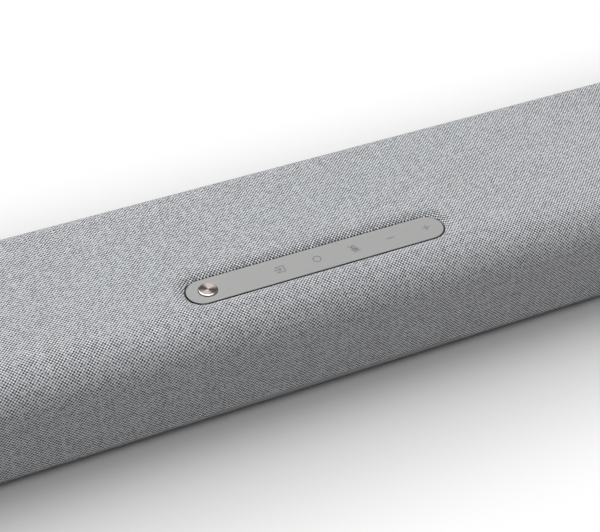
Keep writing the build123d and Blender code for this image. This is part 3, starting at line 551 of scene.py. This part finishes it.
class CoverMesh:
    """Points, flat map and faces of the cover, collected patch by patch."""

    def __init__(self, c):
        self.c = c
        self.points, self.flat, self.faces = [], [], []
        self.front, self.back = COVER_LOW.y, COVER_HIGH.y
        self.low, self.top = COVER_LOW.z, COVER_HIGH.z
        self.straight = COVER_HIGH.x - c.end_round
        self.rows = self.profile()
        self.runs = self.lengths()
        self.strip_run = self.runs[self.shoulder] + (MIDDLE.y - self.rows[self.shoulder][1])

    def profile(self):
        """Rows from the base hem over the front and the top to the back hem."""
        c = self.c
        rows = [("base", c.hem, self.low, None)]
        self.window_low = WINDOW_LOW.z - c.window_gap
        self.window_high = WINDOW_HIGH.z + c.window_gap
        turn_z = self.low + c.base_round
        steps = {turn_z - c.base_round * sin(radians(step)) for step in BASE_TURN}
        steps = sorted(steps | {self.window_low})
        for z in steps:
            sine = min(1.0, (turn_z - z) / c.base_round)
            rows.append(("base", c.base_round * (1.0 - (1.0 - sine * sine) ** 0.5), z, None))
        window = next(i for i, row in enumerate(rows) if near(row[2], self.window_low))
        self.window_rows = (window, len(rows))
        bend_z = self.top - c.front_round
        rows.append(("wall", self.front, self.window_high, (-1.0, 0.0)))
        for step in range(1, WALL_STEPS + 1):
            z = self.window_high + (bend_z - self.window_high) * step / WALL_STEPS
            rows.append(("wall", self.front, z, (-1.0, 0.0)))
        bend_y = self.front + c.front_round
        for step in range(1, BEND_STEPS + 1):
            a = pi / 2 * step / BEND_STEPS
            y, z = bend_y - c.front_round * cos(a), bend_z + c.front_round * sin(a)
            rows.append(("wall", y, z, (-cos(a), sin(a))))
        self.shoulder = len(rows) - 1
        rear_y = self.back - c.rear_round
        count = round((rear_y - bend_y) / TOP_STEP)
        for step in range(1, count + 1):
            y = bend_y + (rear_y - bend_y) * step / count
            rows.append(("wall", y, self.top, (0.0, 1.0)))
            if y < MIDDLE.y + PATCH_REAR:
                last = len(rows) - 1
        self.opening_rows = (self.shoulder - PATCH_FRONT_ROWS, last)
        for step in range(1, REAR_STEPS + 1):
            a = pi / 2 * step / REAR_STEPS
            rows.append(("rear", c.rear_round * (1.0 - cos(a)), rear_y + c.rear_round * sin(a), None))
        rows.append(("rear", c.hem, self.back, None))
        return rows

    def place(self, row, x, turn=0.0):
        """Point of a row, at x on the straight part or on the turn round the right end."""
        kind, a, b, normal = row
        radius = self.c.end_round
        if kind == "wall":
            drop = radius * (1.0 - cos(turn))
            return x + radius * sin(turn), a - normal[0] * drop, b - normal[1] * drop
        reach = radius - a
        if kind == "base":
            return x + reach * sin(turn), self.front + radius - reach * cos(turn), b
        return x + reach * sin(turn), b, self.top - radius + reach * cos(turn)

    def lengths(self):
        """Length of cloth from the base hem to each row."""
        spots = [self.place(row, 0.0) for row in self.rows]
        runs = [0.0]
        for one, two in zip(spots, spots[1:]):
            runs.append(runs[-1] + hypot(two[1] - one[1], two[2] - one[2]))
        return runs

    def add(self, point, flat):
        """New point and its place on the flat cloth."""
        self.points.append(point)
        self.flat.append(flat)
        return len(self.points) - 1

    def sheet(self, lines, skip=None):
        """Quads between lines of points of the same length."""
        for i, (one, two) in enumerate(zip(lines, lines[1:])):
            for j in range(len(one) - 1):
                if not (skip and skip(i, j)):
                    self.faces.append((one[j], one[j + 1], two[j + 1], two[j]))

    def columns(self):
        """Places along the bar, as x, the turn round an end, and the cloth length."""
        self.notch = WINDOW_HIGH.x - (WINDOW_HIGH.z - WINDOW_LOW.z) / 2
        self.opening = STRIP_RUN + PATCH_OUTER[-1] * MM
        rest = self.straight - self.opening
        places = [STRIP_RUN * step / STRIP_STEPS for step in range(STRIP_STEPS + 1)]
        places += [STRIP_RUN + reach * MM for reach in PATCH_INNER]
        places.append(self.notch)
        places += [STRIP_RUN + reach * MM for reach in PATCH_OUTER]
        places += [self.opening + rest * step / SIDE_STEPS for step in range(1, SIDE_STEPS + 1)]
        half = [(x, 0.0, x) for x in places]
        half += [(self.straight, radians(step), self.straight + self.c.end_round * radians(step))
                 for step in END_TURN]
        return [(-x, -turn, -flat) for x, turn, flat in reversed(half[1:])] + half

    def main_sheet(self):
        """Front, top and both end turns, with the two openings left out."""
        half_gap = (self.window_high - self.window_low) / 2
        gap_z = (self.window_high + self.window_low) / 2
        columns = self.columns()
        lines = []
        for row, run in zip(self.rows, self.runs):
            line = []
            for x, turn, flat in columns:
                side = -1 if flat < 0 else 1
                px, py, pz = self.place(row, abs(x), abs(turn))
                if near(abs(x), self.notch) and abs(pz - gap_z) < half_gap and py < 0:
                    px += (half_gap ** 2 - (pz - gap_z) ** 2) ** 0.5
                line.append(self.add((side * px, py, pz), (flat, run)))
            lines.append(line)
        first, last = self.opening_rows
        low, high = self.window_rows
        left = [near(x, -self.opening) for x, _, _ in columns].index(True)
        right = len(columns) - 1 - left
        edge = [near(x, -self.notch) for x, _, _ in columns].index(True)
        other = len(columns) - 1 - edge

        def skip(i, j):
            in_strip = first <= i < last and left <= j < right
            in_window = low <= i < high and edge <= j < other
            return in_strip or in_window

        self.sheet(lines, skip)
        border = [lines[first][j] for j in range(left, right)]
        border += [lines[i][right] for i in range(first, last)]
        border += [lines[last][j] for j in range(right, left, -1)]
        border += [lines[i][left] for i in range(last, first, -1)]
        return border

    def surface(self, x, across):
        """Point of the top at a place on the flat cloth, measured from the strip's middle."""
        bend = self.front + self.c.front_round
        past = bend - MIDDLE.y - across
        if past <= 0:
            return [x, MIDDLE.y + across, self.top]
        a = past / self.c.front_round
        drop = self.c.front_round * (1.0 - cos(a))
        return [x, bend - self.c.front_round * sin(a), self.top - drop]

    def strip_rings(self, border):
        """Hollow round the control strip, down to the lip at the groove."""
        c = self.c
        rings = [(c.groove + out * MM, drop * MM) for out, drop in LIP]
        rings += [(c.groove + out * MM, 0.0) for out in DISH_RINGS]
        lines = []
        for reach, lowered in rings:
            line = []
            for index in border:
                x, run = self.flat[index]
                across = run - self.strip_run
                centre = max(-STRIP_RUN, min(STRIP_RUN, x))
                far = hypot(x - centre, across)
                out = STRIP_RADIUS + reach
                px, py = centre + (x - centre) / far * out, across / far * out
                point = self.surface(px, py)
                fall = max(0.0, 1.0 - (reach - c.groove) / c.dish_width)
                depth = c.dish_front + (c.dish_rear - c.dish_front) * (1.0 + across / far) / 2
                dish = self.top - depth * fall * fall
                blend = max(DISH_SOFT - abs(point[2] - dish), 0.0) / DISH_SOFT
                point[2] = min(point[2], dish) - blend * blend * DISH_SOFT / 4 - lowered
                line.append(self.add(tuple(point), (px, self.strip_run + py)))
            lines.append(line + line[:1])
        lines.append(border + border[:1])
        self.sheet(lines)

    def end_patches(self, side):
        """Flat end, with its turn to the base and to the back."""
        c = self.c
        far = self.straight + c.end_round
        start = self.straight + c.end_round * pi / 2
        base = [row for row in self.rows if row[0] == "base"]
        walls = [row for row in self.rows if row[0] == "wall"]
        rear = [row for row in self.rows if row[0] == "rear"]
        turn_z = base[-1][2]
        inner_z, inner_y = self.top - c.end_round, self.front + c.end_round
        bend_z, bend_y = self.top - c.front_round, self.front + c.front_round
        rear_y = self.back - c.rear_round
        heights = [turn_z] + [row[2] for row in walls if row[3] == (-1.0, 0.0)] + [inner_z]
        tops = [row[1] for row in walls if near(row[2], self.top)]
        depths = [inner_y] + [y for y in tops if y > bend_y - CLOSE]

        def spot(x, y, z, away=0.0):
            return self.add((side * x, y, z), (side * (start + y - inner_y), z - away))

        flat = [[spot(far, y, z) for y in depths] for z in heights]
        self.sheet(flat, lambda i, j: j == 0 and i == len(heights) - 2)
        arc = [self.place(row, self.straight, pi / 2) for row in walls]
        arc = [p for p in arc if p[1] < bend_y + CLOSE and p[2] > bend_z - CLOSE]
        fan = [spot(*point) for point in arc]
        hub = flat[-2][1]
        self.faces += [(hub, one, two) for one, two in zip(fan, fan[1:])]
        self.sheet([[spot(far - h, y, z, h) for y in depths] for _, h, z, _ in base])
        rear_steps = [(0.0, rear_y)] + [(h, y) for _, h, y, _ in rear]
        self.sheet([[spot(far - h, y, z) for h, y in rear_steps] for z in heights])
        turns = rear_steps[:-1]
        hub_x = far - c.rear_round
        rings = []
        for _, h, z, _ in base[1:]:
            reach = (c.rear_round - h) / c.rear_round
            rings.append([spot(hub_x + (far - hr - hub_x) * reach, rear_y + (y - rear_y) * reach, z, h)
                          for hr, y in turns])
        self.sheet(rings)
        tail = [[spot(x, self.back - h, z, h) for x in (hub_x, far - c.hem)] for _, h, z, _ in base[1:]]
        self.sheet(tail)
        corner = spot(far - c.hem, rear_y, self.low, c.hem)
        rim = rings[0] + tail[0][1:]
        self.faces += [(corner, one, two) for one, two in zip(rim, rim[1:])]

    def object(self, name):
        """The finished sheet as an object, with its flat map."""
        deselect()
        mesh = bpy.data.meshes.new(name)
        mesh.from_pydata(self.points, [], self.faces)
        piece = bpy.data.objects.new(name, mesh)
        bpy.context.scene.collection.objects.link(piece)
        layer = mesh.uv_layers.new(name="Weave")
        for loop in mesh.loops:
            layer.data[loop.index].uv = self.flat[loop.vertex_index]
        return cleaned(piece)


class SOUNDBAR_OT_cover(bpy.types.Operator):
    """Stretch the woven cover over the bar, with its openings for the strip and the window"""
    bl_idname = "soundbar.cover"
    bl_label = "Fabric cover"

    def execute(self, context):
        c = context.scene.soundbar_cover
        sheet = CoverMesh(c)
        sheet.strip_rings(sheet.main_sheet())
        for side in (-1, 1):
            sheet.end_patches(side)
        piece = sheet.object("fabric_cover")
        highest = max(piece.data.polygons, key=lambda face: face.center.z)
        if highest.normal.z < 0:
            piece.data.flip_normals()
        modified(piece, "SOLIDIFY", thickness=c.thick, offset=-1.0, use_even_offset=True)
        smoothed(piece, degrees=50.0)
        dressed(piece, weave(c), "bar")
        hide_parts("fabric_sleeve")
        return {"FINISHED"}


# Control strip, marks and button

class SOUNDBAR_OT_strip(bpy.types.Operator):
    """Model the satin control strip with its round edge and the hole for the button"""
    bl_idname = "soundbar.strip"
    bl_label = "Control strip"

    def execute(self, context):
        s = context.scene.soundbar_strip
        below_edge = STRIP_HIGH.z - 0.9 * s.edge
        piece = drum("control_strip", MIDDLE.x, MIDDLE.y, STRIP_LOW.z, STRIP_HIGH.z, STRIP_RADIUS)
        stretched(piece, MIDDLE.x, STRIP_RUN)
        pick(piece, "EDGE", lambda spot: near(spot.z, STRIP_HIGH.z))
        bpy.ops.mesh.bevel(offset=s.edge, segments=5, affect="EDGES")
        cutter = drum("cutter", AXIS.x, AXIS.y, STRIP_LOW.z - MM, STRIP_HIGH.z + MM, s.hole)
        combined(piece, [cutter], "DIFFERENCE")
        pick(piece, "EDGE", lambda spot: near(spot.z, STRIP_HIGH.z)
             and near(hypot(spot.x - AXIS.x, spot.y - AXIS.y), s.hole))
        bpy.ops.mesh.bevel(offset=s.lip, segments=2, affect="EDGES")
        modified(smoothed(cleaned(piece)), "WEIGHTED_NORMAL", weight=90, keep_sharp=True)
        # The strip's side below its edge takes painted shade, for the groove
        finish = grained("satin_strip", s.tone, grain=5200.0, rough=0.46, relief=0.012 * MM, spread=0.035,
                         wall=(s.wall, below_edge))
        dressed(piece, finish, "bar")
        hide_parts("control_cover")
        return {"FINISHED"}


class Marks:
    """Flat printed signs, drawn from bars and rings about a middle point."""
    sunk = 0.01 * MM
    proud = 0.02 * MM
    corners = 48

    def __init__(self, line):
        self.line = line
        self.low = STRIP_HIGH.z - self.sunk
        self.high = STRIP_HIGH.z + self.proud
        self.middle = (self.low + self.high) / 2
        self.parts = []

    def bar(self, ax, ay, bx, by):
        """Straight stroke between two points in millimetres."""
        deselect()
        ax, ay, bx, by = ax * MM, ay * MM, bx * MM, by * MM
        run = hypot(bx - ax, by - ay)
        turn = Vector((1.0, 0.0)).angle_signed(Vector((bx - ax, by - ay)))
        corner = 0.35 * self.line
        bpy.ops.mesh.primitive_cube_add(size=1.0, location=((ax + bx) / 2, (ay + by) / 2, self.middle),
                                        rotation=(0.0, 0.0, -turn),
                                        scale=(run + self.line, self.line, self.high - self.low))
        piece = named("stroke")
        pick(piece, "EDGE", lambda spot: near(spot.z, self.middle, CLOSE))
        bpy.ops.mesh.bevel(offset=corner, segments=3, affect="EDGES")
        bpy.ops.object.mode_set(mode="OBJECT")
        self.parts.append(piece)

    def ring(self, x, y, radius, rise=0.0, keep=None):
        """Ring, drawn out upwards by the rise, or only the half of it below the kept height."""
        deselect()
        bpy.ops.mesh.primitive_circle_add(vertices=self.corners, radius=radius * MM, fill_type="NGON",
                                          location=(x * MM, y * MM, self.low),
                                          rotation=(0.0, 0.0, pi / self.corners))
        piece = named("ring")
        bpy.ops.object.mode_set(mode="EDIT")
        bpy.ops.mesh.select_all(action="SELECT")
        bpy.ops.mesh.inset(thickness=self.line)
        bpy.ops.mesh.delete(type="FACE")
        bpy.ops.mesh.select_all(action="SELECT")
        bpy.ops.mesh.extrude_region_move(TRANSFORM_OT_translate={"value": (0.0, 0.0, self.high - self.low)})
        bpy.ops.object.mode_set(mode="OBJECT")
        if rise:
            pick(piece, "VERT", lambda spot: spot.y > y * MM)
            bpy.ops.transform.translate(value=(0.0, rise * MM, 0.0))
            bpy.ops.object.mode_set(mode="OBJECT")
        if keep is not None:
            only(piece)
            bpy.ops.object.mode_set(mode="EDIT")
            bpy.ops.mesh.select_all(action="SELECT")
            bpy.ops.mesh.bisect(plane_co=(0.0, keep * MM, 0.0), plane_no=(0.0, 1.0, 0.0),
                                use_fill=True, clear_outer=True)
        self.parts.append(cleaned(piece))

    def sign(self, name, x):
        """Joins the strokes into one sign and puts it on the strip."""
        first, *others = self.parts
        self.parts = []
        piece = combined(first, others, "UNION")
        piece.name = piece.data.name = name
        only(piece)
        piece.location = (x, MIDDLE.y, 0.0)
        bpy.ops.object.transform_apply(location=True)
        return cleaned(piece)


class SOUNDBAR_OT_marks(bpy.types.Operator):
    """Draw the five touch marks on the strip: input, ring, microphone off, minus and plus"""
    bl_idname = "soundbar.marks"
    bl_label = "Touch marks"

    def execute(self, context):
        s = context.scene.soundbar_strip
        ink = grained("mark_ink", s.ink, grain=5200.0, rough=0.55, relief=0.006 * MM, spread=0.05)
        pen = Marks(s.line)
        pieces = []
        x = AXIS.x + s.first
        for stroke in ((-1.4, 2.1, 2.6, 2.1), (2.6, 2.1, 2.6, -2.1), (2.6, -2.1, -1.4, -2.1),
                       (-1.4, 2.1, -1.4, 1.2), (-1.4, -2.1, -1.4, -1.2), (-2.8, 0.0, 0.9, 0.0),
                       (0.9, 0.0, -0.2, 1.1), (0.9, 0.0, -0.2, -1.1)):
            pen.bar(*stroke)
        pieces.append(pen.sign("mark_input", x))
        pen.ring(0.0, 0.0, 2.3)
        pieces.append(pen.sign("mark_ring", x + s.step))
        pen.ring(0.0, -0.1, 1.05, rise=1.5)
        pen.ring(0.0, 0.0, 1.95, keep=0.0)
        pen.bar(0.0, -1.9, 0.0, -2.7)
        pen.bar(-0.9, -2.7, 0.9, -2.7)
        pen.bar(-2.4, 2.4, 2.4, -2.4)
        pieces.append(pen.sign("mark_microphone_off", x + 2 * s.step))
        pen.bar(-2.0, 0.0, 2.0, 0.0)
        pieces.append(pen.sign("mark_minus", x + 3 * s.step))
        pen.bar(-1.9, 0.0, 1.9, 0.0)
        pen.bar(0.0, -1.9, 0.0, 1.9)
        pieces.append(pen.sign("mark_plus", x + 4 * s.step))
        for piece in pieces:
            dressed(piece, ink, "bar")
        return {"FINISHED"}


class SOUNDBAR_OT_button(bpy.types.Operator):
    """Turn the dished metal push button with its collar and stem"""
    bl_idname = "soundbar.button"
    bl_label = "Push button"

    def execute(self, context):
        b = context.scene.soundbar_button
        collar_top = STRIP_LOW.z
        stem_drop = collar_top - b.collar_thick - BUTTON_LOW.z
        piece = drum("push_button", AXIS.x, AXIS.y, collar_top, BUTTON_HIGH.z, b.radius, corners=128)
        pick(piece, "EDGE", lambda spot: near(spot.z, BUTTON_HIGH.z))
        bpy.ops.mesh.bevel(offset=b.chamfer, segments=2, profile=0.6, affect="EDGES")
        pick(piece, "FACE", lambda spot: near(spot.z, BUTTON_HIGH.z)
             and near(hypot(spot.x - AXIS.x, spot.y - AXIS.y), 0.0))
        bpy.ops.mesh.inset(thickness=b.rim)
        start = b.radius - b.chamfer - b.rim
        steps = 7
        fall = [b.dish * (1.0 - (1.0 - step / steps) ** 2) for step in range(steps)]
        for one, two in zip(fall, fall[1:]):
            bpy.ops.mesh.inset(thickness=start / steps, depth=one - two)
        bpy.ops.mesh.poke()
        for now, radius, drop in ((b.radius, b.collar, b.collar_thick), (b.collar, b.stem, stem_drop)):
            lowest = min(v.co.z for v in piece.data.vertices)
            pick(piece, "FACE", lambda spot: near(spot.z, lowest))
            bpy.ops.mesh.extrude_region_move()
            bpy.ops.transform.resize(value=(radius / now, radius / now, 1.0),
                                     center_override=(AXIS.x, AXIS.y, lowest))
            bpy.ops.mesh.extrude_region_move(TRANSFORM_OT_translate={"value": (0.0, 0.0, -drop)})
            bpy.ops.object.mode_set(mode="OBJECT")
        modified(smoothed(cleaned(piece), degrees=20.0), "WEIGHTED_NORMAL", weight=90, keep_sharp=True)
        dressed(piece, spun(b), "power_button")
        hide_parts("power_button")
        return {"FINISHED"}


# Finishes of the solids that show as they are

class SOUNDBAR_OT_finishes(bpy.types.Operator):
    """Give every solid that stays in view, or lies inside, its own finish"""
    bl_idname = "soundbar.finishes"
    bl_label = "Finishes"

    def execute(self, context):
        fine = 0.02 * MM

        # Slot, tone, grain, roughness and relief
        rows = [
            ("shell_plastic", (0.10, 0.10, 0.11), 1800.0, 0.55, fine),
            ("housing_plastic", (0.13, 0.13, 0.14), 2600.0, 0.58, 2.5 * fine),
            ("baffle_plastic", (0.03, 0.03, 0.03), 1500.0, 0.6, fine),
            ("groove_plastic", (0.028, 0.028, 0.03), 2600.0, 0.6, fine),
            ("window_plastic", (0.38, 0.382, 0.39), 5200.0, 0.36, 0.3 * fine),
            ("switch_plastic", (0.02, 0.02, 0.02), 2600.0, 0.5, fine),
            ("lamp_plastic", (0.75, 0.75, 0.70), 2600.0, 0.25, 0.3 * fine),
            ("chip_plastic", (0.03, 0.03, 0.035), 2600.0, 0.5, fine),
            ("socket_plastic", (0.015, 0.015, 0.016), 2600.0, 0.5, fine),
            ("foot_rubber", (0.03, 0.03, 0.03), 1600.0, 0.85, 2.0 * fine),
            ("cone_plastic", (0.04, 0.04, 0.045), 900.0, 0.6, 2.0 * fine),
            ("surround_rubber", (0.02, 0.02, 0.02), 1600.0, 0.75, fine),
            ("film", (0.50, 0.28, 0.08), 2600.0, 0.35, 0.3 * fine),
            ("wadding_felt", (0.60, 0.60, 0.58), 700.0, 0.95, 20.0 * fine),
            ("spider_cloth", (0.55, 0.40, 0.15), 2200.0, 0.9, 5.0 * fine),
        ]
        made = {row[0]: grained(*row) for row in rows}

        # Slot, tone, roughness and how the grain is drawn out
        for name, tone, rough, stretch in (
                ("sink_metal", (0.30, 0.30, 0.31), 0.42, (0.1, 1.0, 1.0)),
                ("plate_steel", (0.42, 0.42, 0.43), 0.34, (0.05, 1.0, 1.0)),
                ("socket_metal", (0.55, 0.55, 0.55), 0.28, (1.0, 0.1, 1.0)),
                ("magnet_iron", (0.22, 0.22, 0.22), 0.40, (1.0, 0.1, 1.0)),
                ("screw_steel", (0.06, 0.06, 0.062), 0.38, (1.0, 1.0, 0.2)),
                ("frame_steel", (0.05, 0.05, 0.05), 0.45, (1.0, 1.0, 1.0))):
            made[name] = grained(name, tone, grain=2600.0, rough=rough, relief=0.4 * fine, spread=0.12,
                                 stretch=stretch, Metallic=0.9)
        made["board_green"] = laminate("board_green", (0.02, 0.13, 0.06))
        slots = {row["node"]: row["material_slot"] for row in frame["record"]["subparts"]}
        for name, node in frame["nodes"].items():
            finish = made.get(slots[name])
            if finish:
                for slot in node.material_slots:
                    slot.material = finish
        return {"FINISHED"}


# Stage

class SOUNDBAR_OT_stage(bpy.types.Operator):
    """Set the pale floor, the soft light and the camera"""
    bl_idname = "soundbar.stage"
    bl_label = "Studio"

    def seen(self, kit):
        """Whether the camera sees a place, itself or in metal or through glass."""
        camera, glossy, through = (kit.node("LightPath", None, None, name)
                                   for name in ("Is Camera Ray", "Is Glossy Ray", "Is Transmission Ray"))
        return kit.math("MAXIMUM", camera, kit.math("MAXIMUM", glossy, through))

    def floor(self, s):
        """Pale floor that keeps the bar's shadow, with painted shadow round the bar: grey near it, white
        farther out.
        """
        deselect()
        bpy.ops.mesh.primitive_plane_add(size=FLOOR_SIZE)
        piece = named("floor")
        made, shader, kit = finish_material("studio_floor", Roughness=0.9, Specular_IOR_Level=0.1)
        seen = self.seen(kit)
        kit.feed(shader, "Base Color", kit.mix(opaque(s.bounce), opaque(s.floor), seen))
        # Painted shadow round the bar: the floor keeps its grey tone near the bar and fades to a white glow
        # farther out
        footprint = (CAD_BOX[1][0], CAD_BOX[1][1], 0.0)
        far = kit.place().beyond(footprint).ramp(s.near, s.far)
        white = kit.node("Emission")
        ends = made.node_tree.nodes["Material Output"]
        surface = Shade(kit.tree, shader.outputs[0])
        kit.feed(ends, "Surface", kit.node("MixShader", None, {0: far * seen, 1: surface, 2: white}))
        piece.data.materials.append(made)

    def world(self, s):
        """Even light from all round, with a white horizon behind the bar."""
        made = bpy.data.worlds.new("studio")
        made.use_nodes = True
        bpy.context.scene.world = made
        tree = made.node_tree
        kit = Shade(tree)
        backdrop = tree.nodes["Background"]
        ceiling, horizon = 0.45, 0.25
        low = kit.place("Generated").part(2).ramp(ceiling, horizon)
        kit.feed(backdrop, "Color", (1.0, 1.0, 1.0, 1.0))
        kit.feed(backdrop, "Strength", s.fill + self.seen(kit) * low * (1.0 - s.fill))

    def lamp(self, name, turn, rise, size, power):
        """Large soft light, turned to the right from the back and raised from the horizon."""
        data = bpy.data.lights.new(name, "AREA")
        data.shape = "DISK"
        data.size = size
        data.energy = power
        away = Vector((sin(turn) * cos(rise), cos(turn) * cos(rise), sin(rise)))
        lamp = bpy.data.objects.new(name, data)
        lamp.location = away * LAMP_REACH
        lamp.rotation_euler = (-away).to_track_quat("-Z", "Y").to_euler()
        bpy.context.scene.collection.objects.link(lamp)

    def execute(self, context):
        s = context.scene.soundbar_stage
        self.floor(s)
        self.world(s)
        for name, turn, rise, size in LAMPS:
            self.lamp(name, radians(turn), radians(rise), size, getattr(s, name))
        data = bpy.data.cameras.new("camera")
        data.sensor_width = SENSOR_WIDTH
        data.lens = s.lens
        camera = bpy.data.objects.new("camera", data)
        level = cos(s.elevation)
        back = Vector((-sin(s.azimuth) * level, -cos(s.azimuth) * level, sin(s.elevation)))
        camera.location = Vector(s.aim) + back * s.distance
        camera.rotation_euler = (-back).to_track_quat("-Z", "Y").to_euler()
        context.scene.collection.objects.link(camera)
        context.scene.camera = camera
        context.scene.view_settings.view_transform = "Standard"
        return {"FINISHED"}


# Add-on

class SOUNDBAR_PT_panel(bpy.types.Panel):
    """Lists the steps that dress the soundbar"""
    bl_idname = "SOUNDBAR_PT_panel"
    bl_label = "Soundbar"
    bl_space_type = "VIEW_3D"
    bl_region_type = "UI"
    bl_category = "Soundbar"

    def draw(self, context):
        for step in STEPS:
            self.layout.operator(step.bl_idname)
        for name in SETTINGS:
            settings = getattr(context.scene, name)
            box = self.layout.box()
            for key in settings.__annotations__:
                box.prop(settings, key)


STEPS = (SOUNDBAR_OT_cover, SOUNDBAR_OT_strip, SOUNDBAR_OT_marks, SOUNDBAR_OT_button,
         SOUNDBAR_OT_finishes, SOUNDBAR_OT_stage)
SETTINGS = {"soundbar_cover": CoverSettings, "soundbar_strip": StripSettings,
            "soundbar_button": ButtonSettings, "soundbar_stage": StageSettings}


def register():
    for kind in (*SETTINGS.values(), *STEPS, SOUNDBAR_PT_panel):
        bpy.utils.register_class(kind)
    for name, kind in SETTINGS.items():
        setattr(bpy.types.Scene, name, bpy.props.PointerProperty(type=kind))


def unregister():
    for name in SETTINGS:
        delattr(bpy.types.Scene, name)
    for kind in reversed((*SETTINGS.values(), *STEPS, SOUNDBAR_PT_panel)):
        bpy.utils.unregister_class(kind)


def main():
    register()
    bpy.ops.soundbar.cover()
    bpy.ops.soundbar.strip()
    bpy.ops.soundbar.marks()
    bpy.ops.soundbar.button()
    bpy.ops.soundbar.finishes()
    bpy.ops.soundbar.stage()
    deselect()


if __name__ == "__main__":
    main()
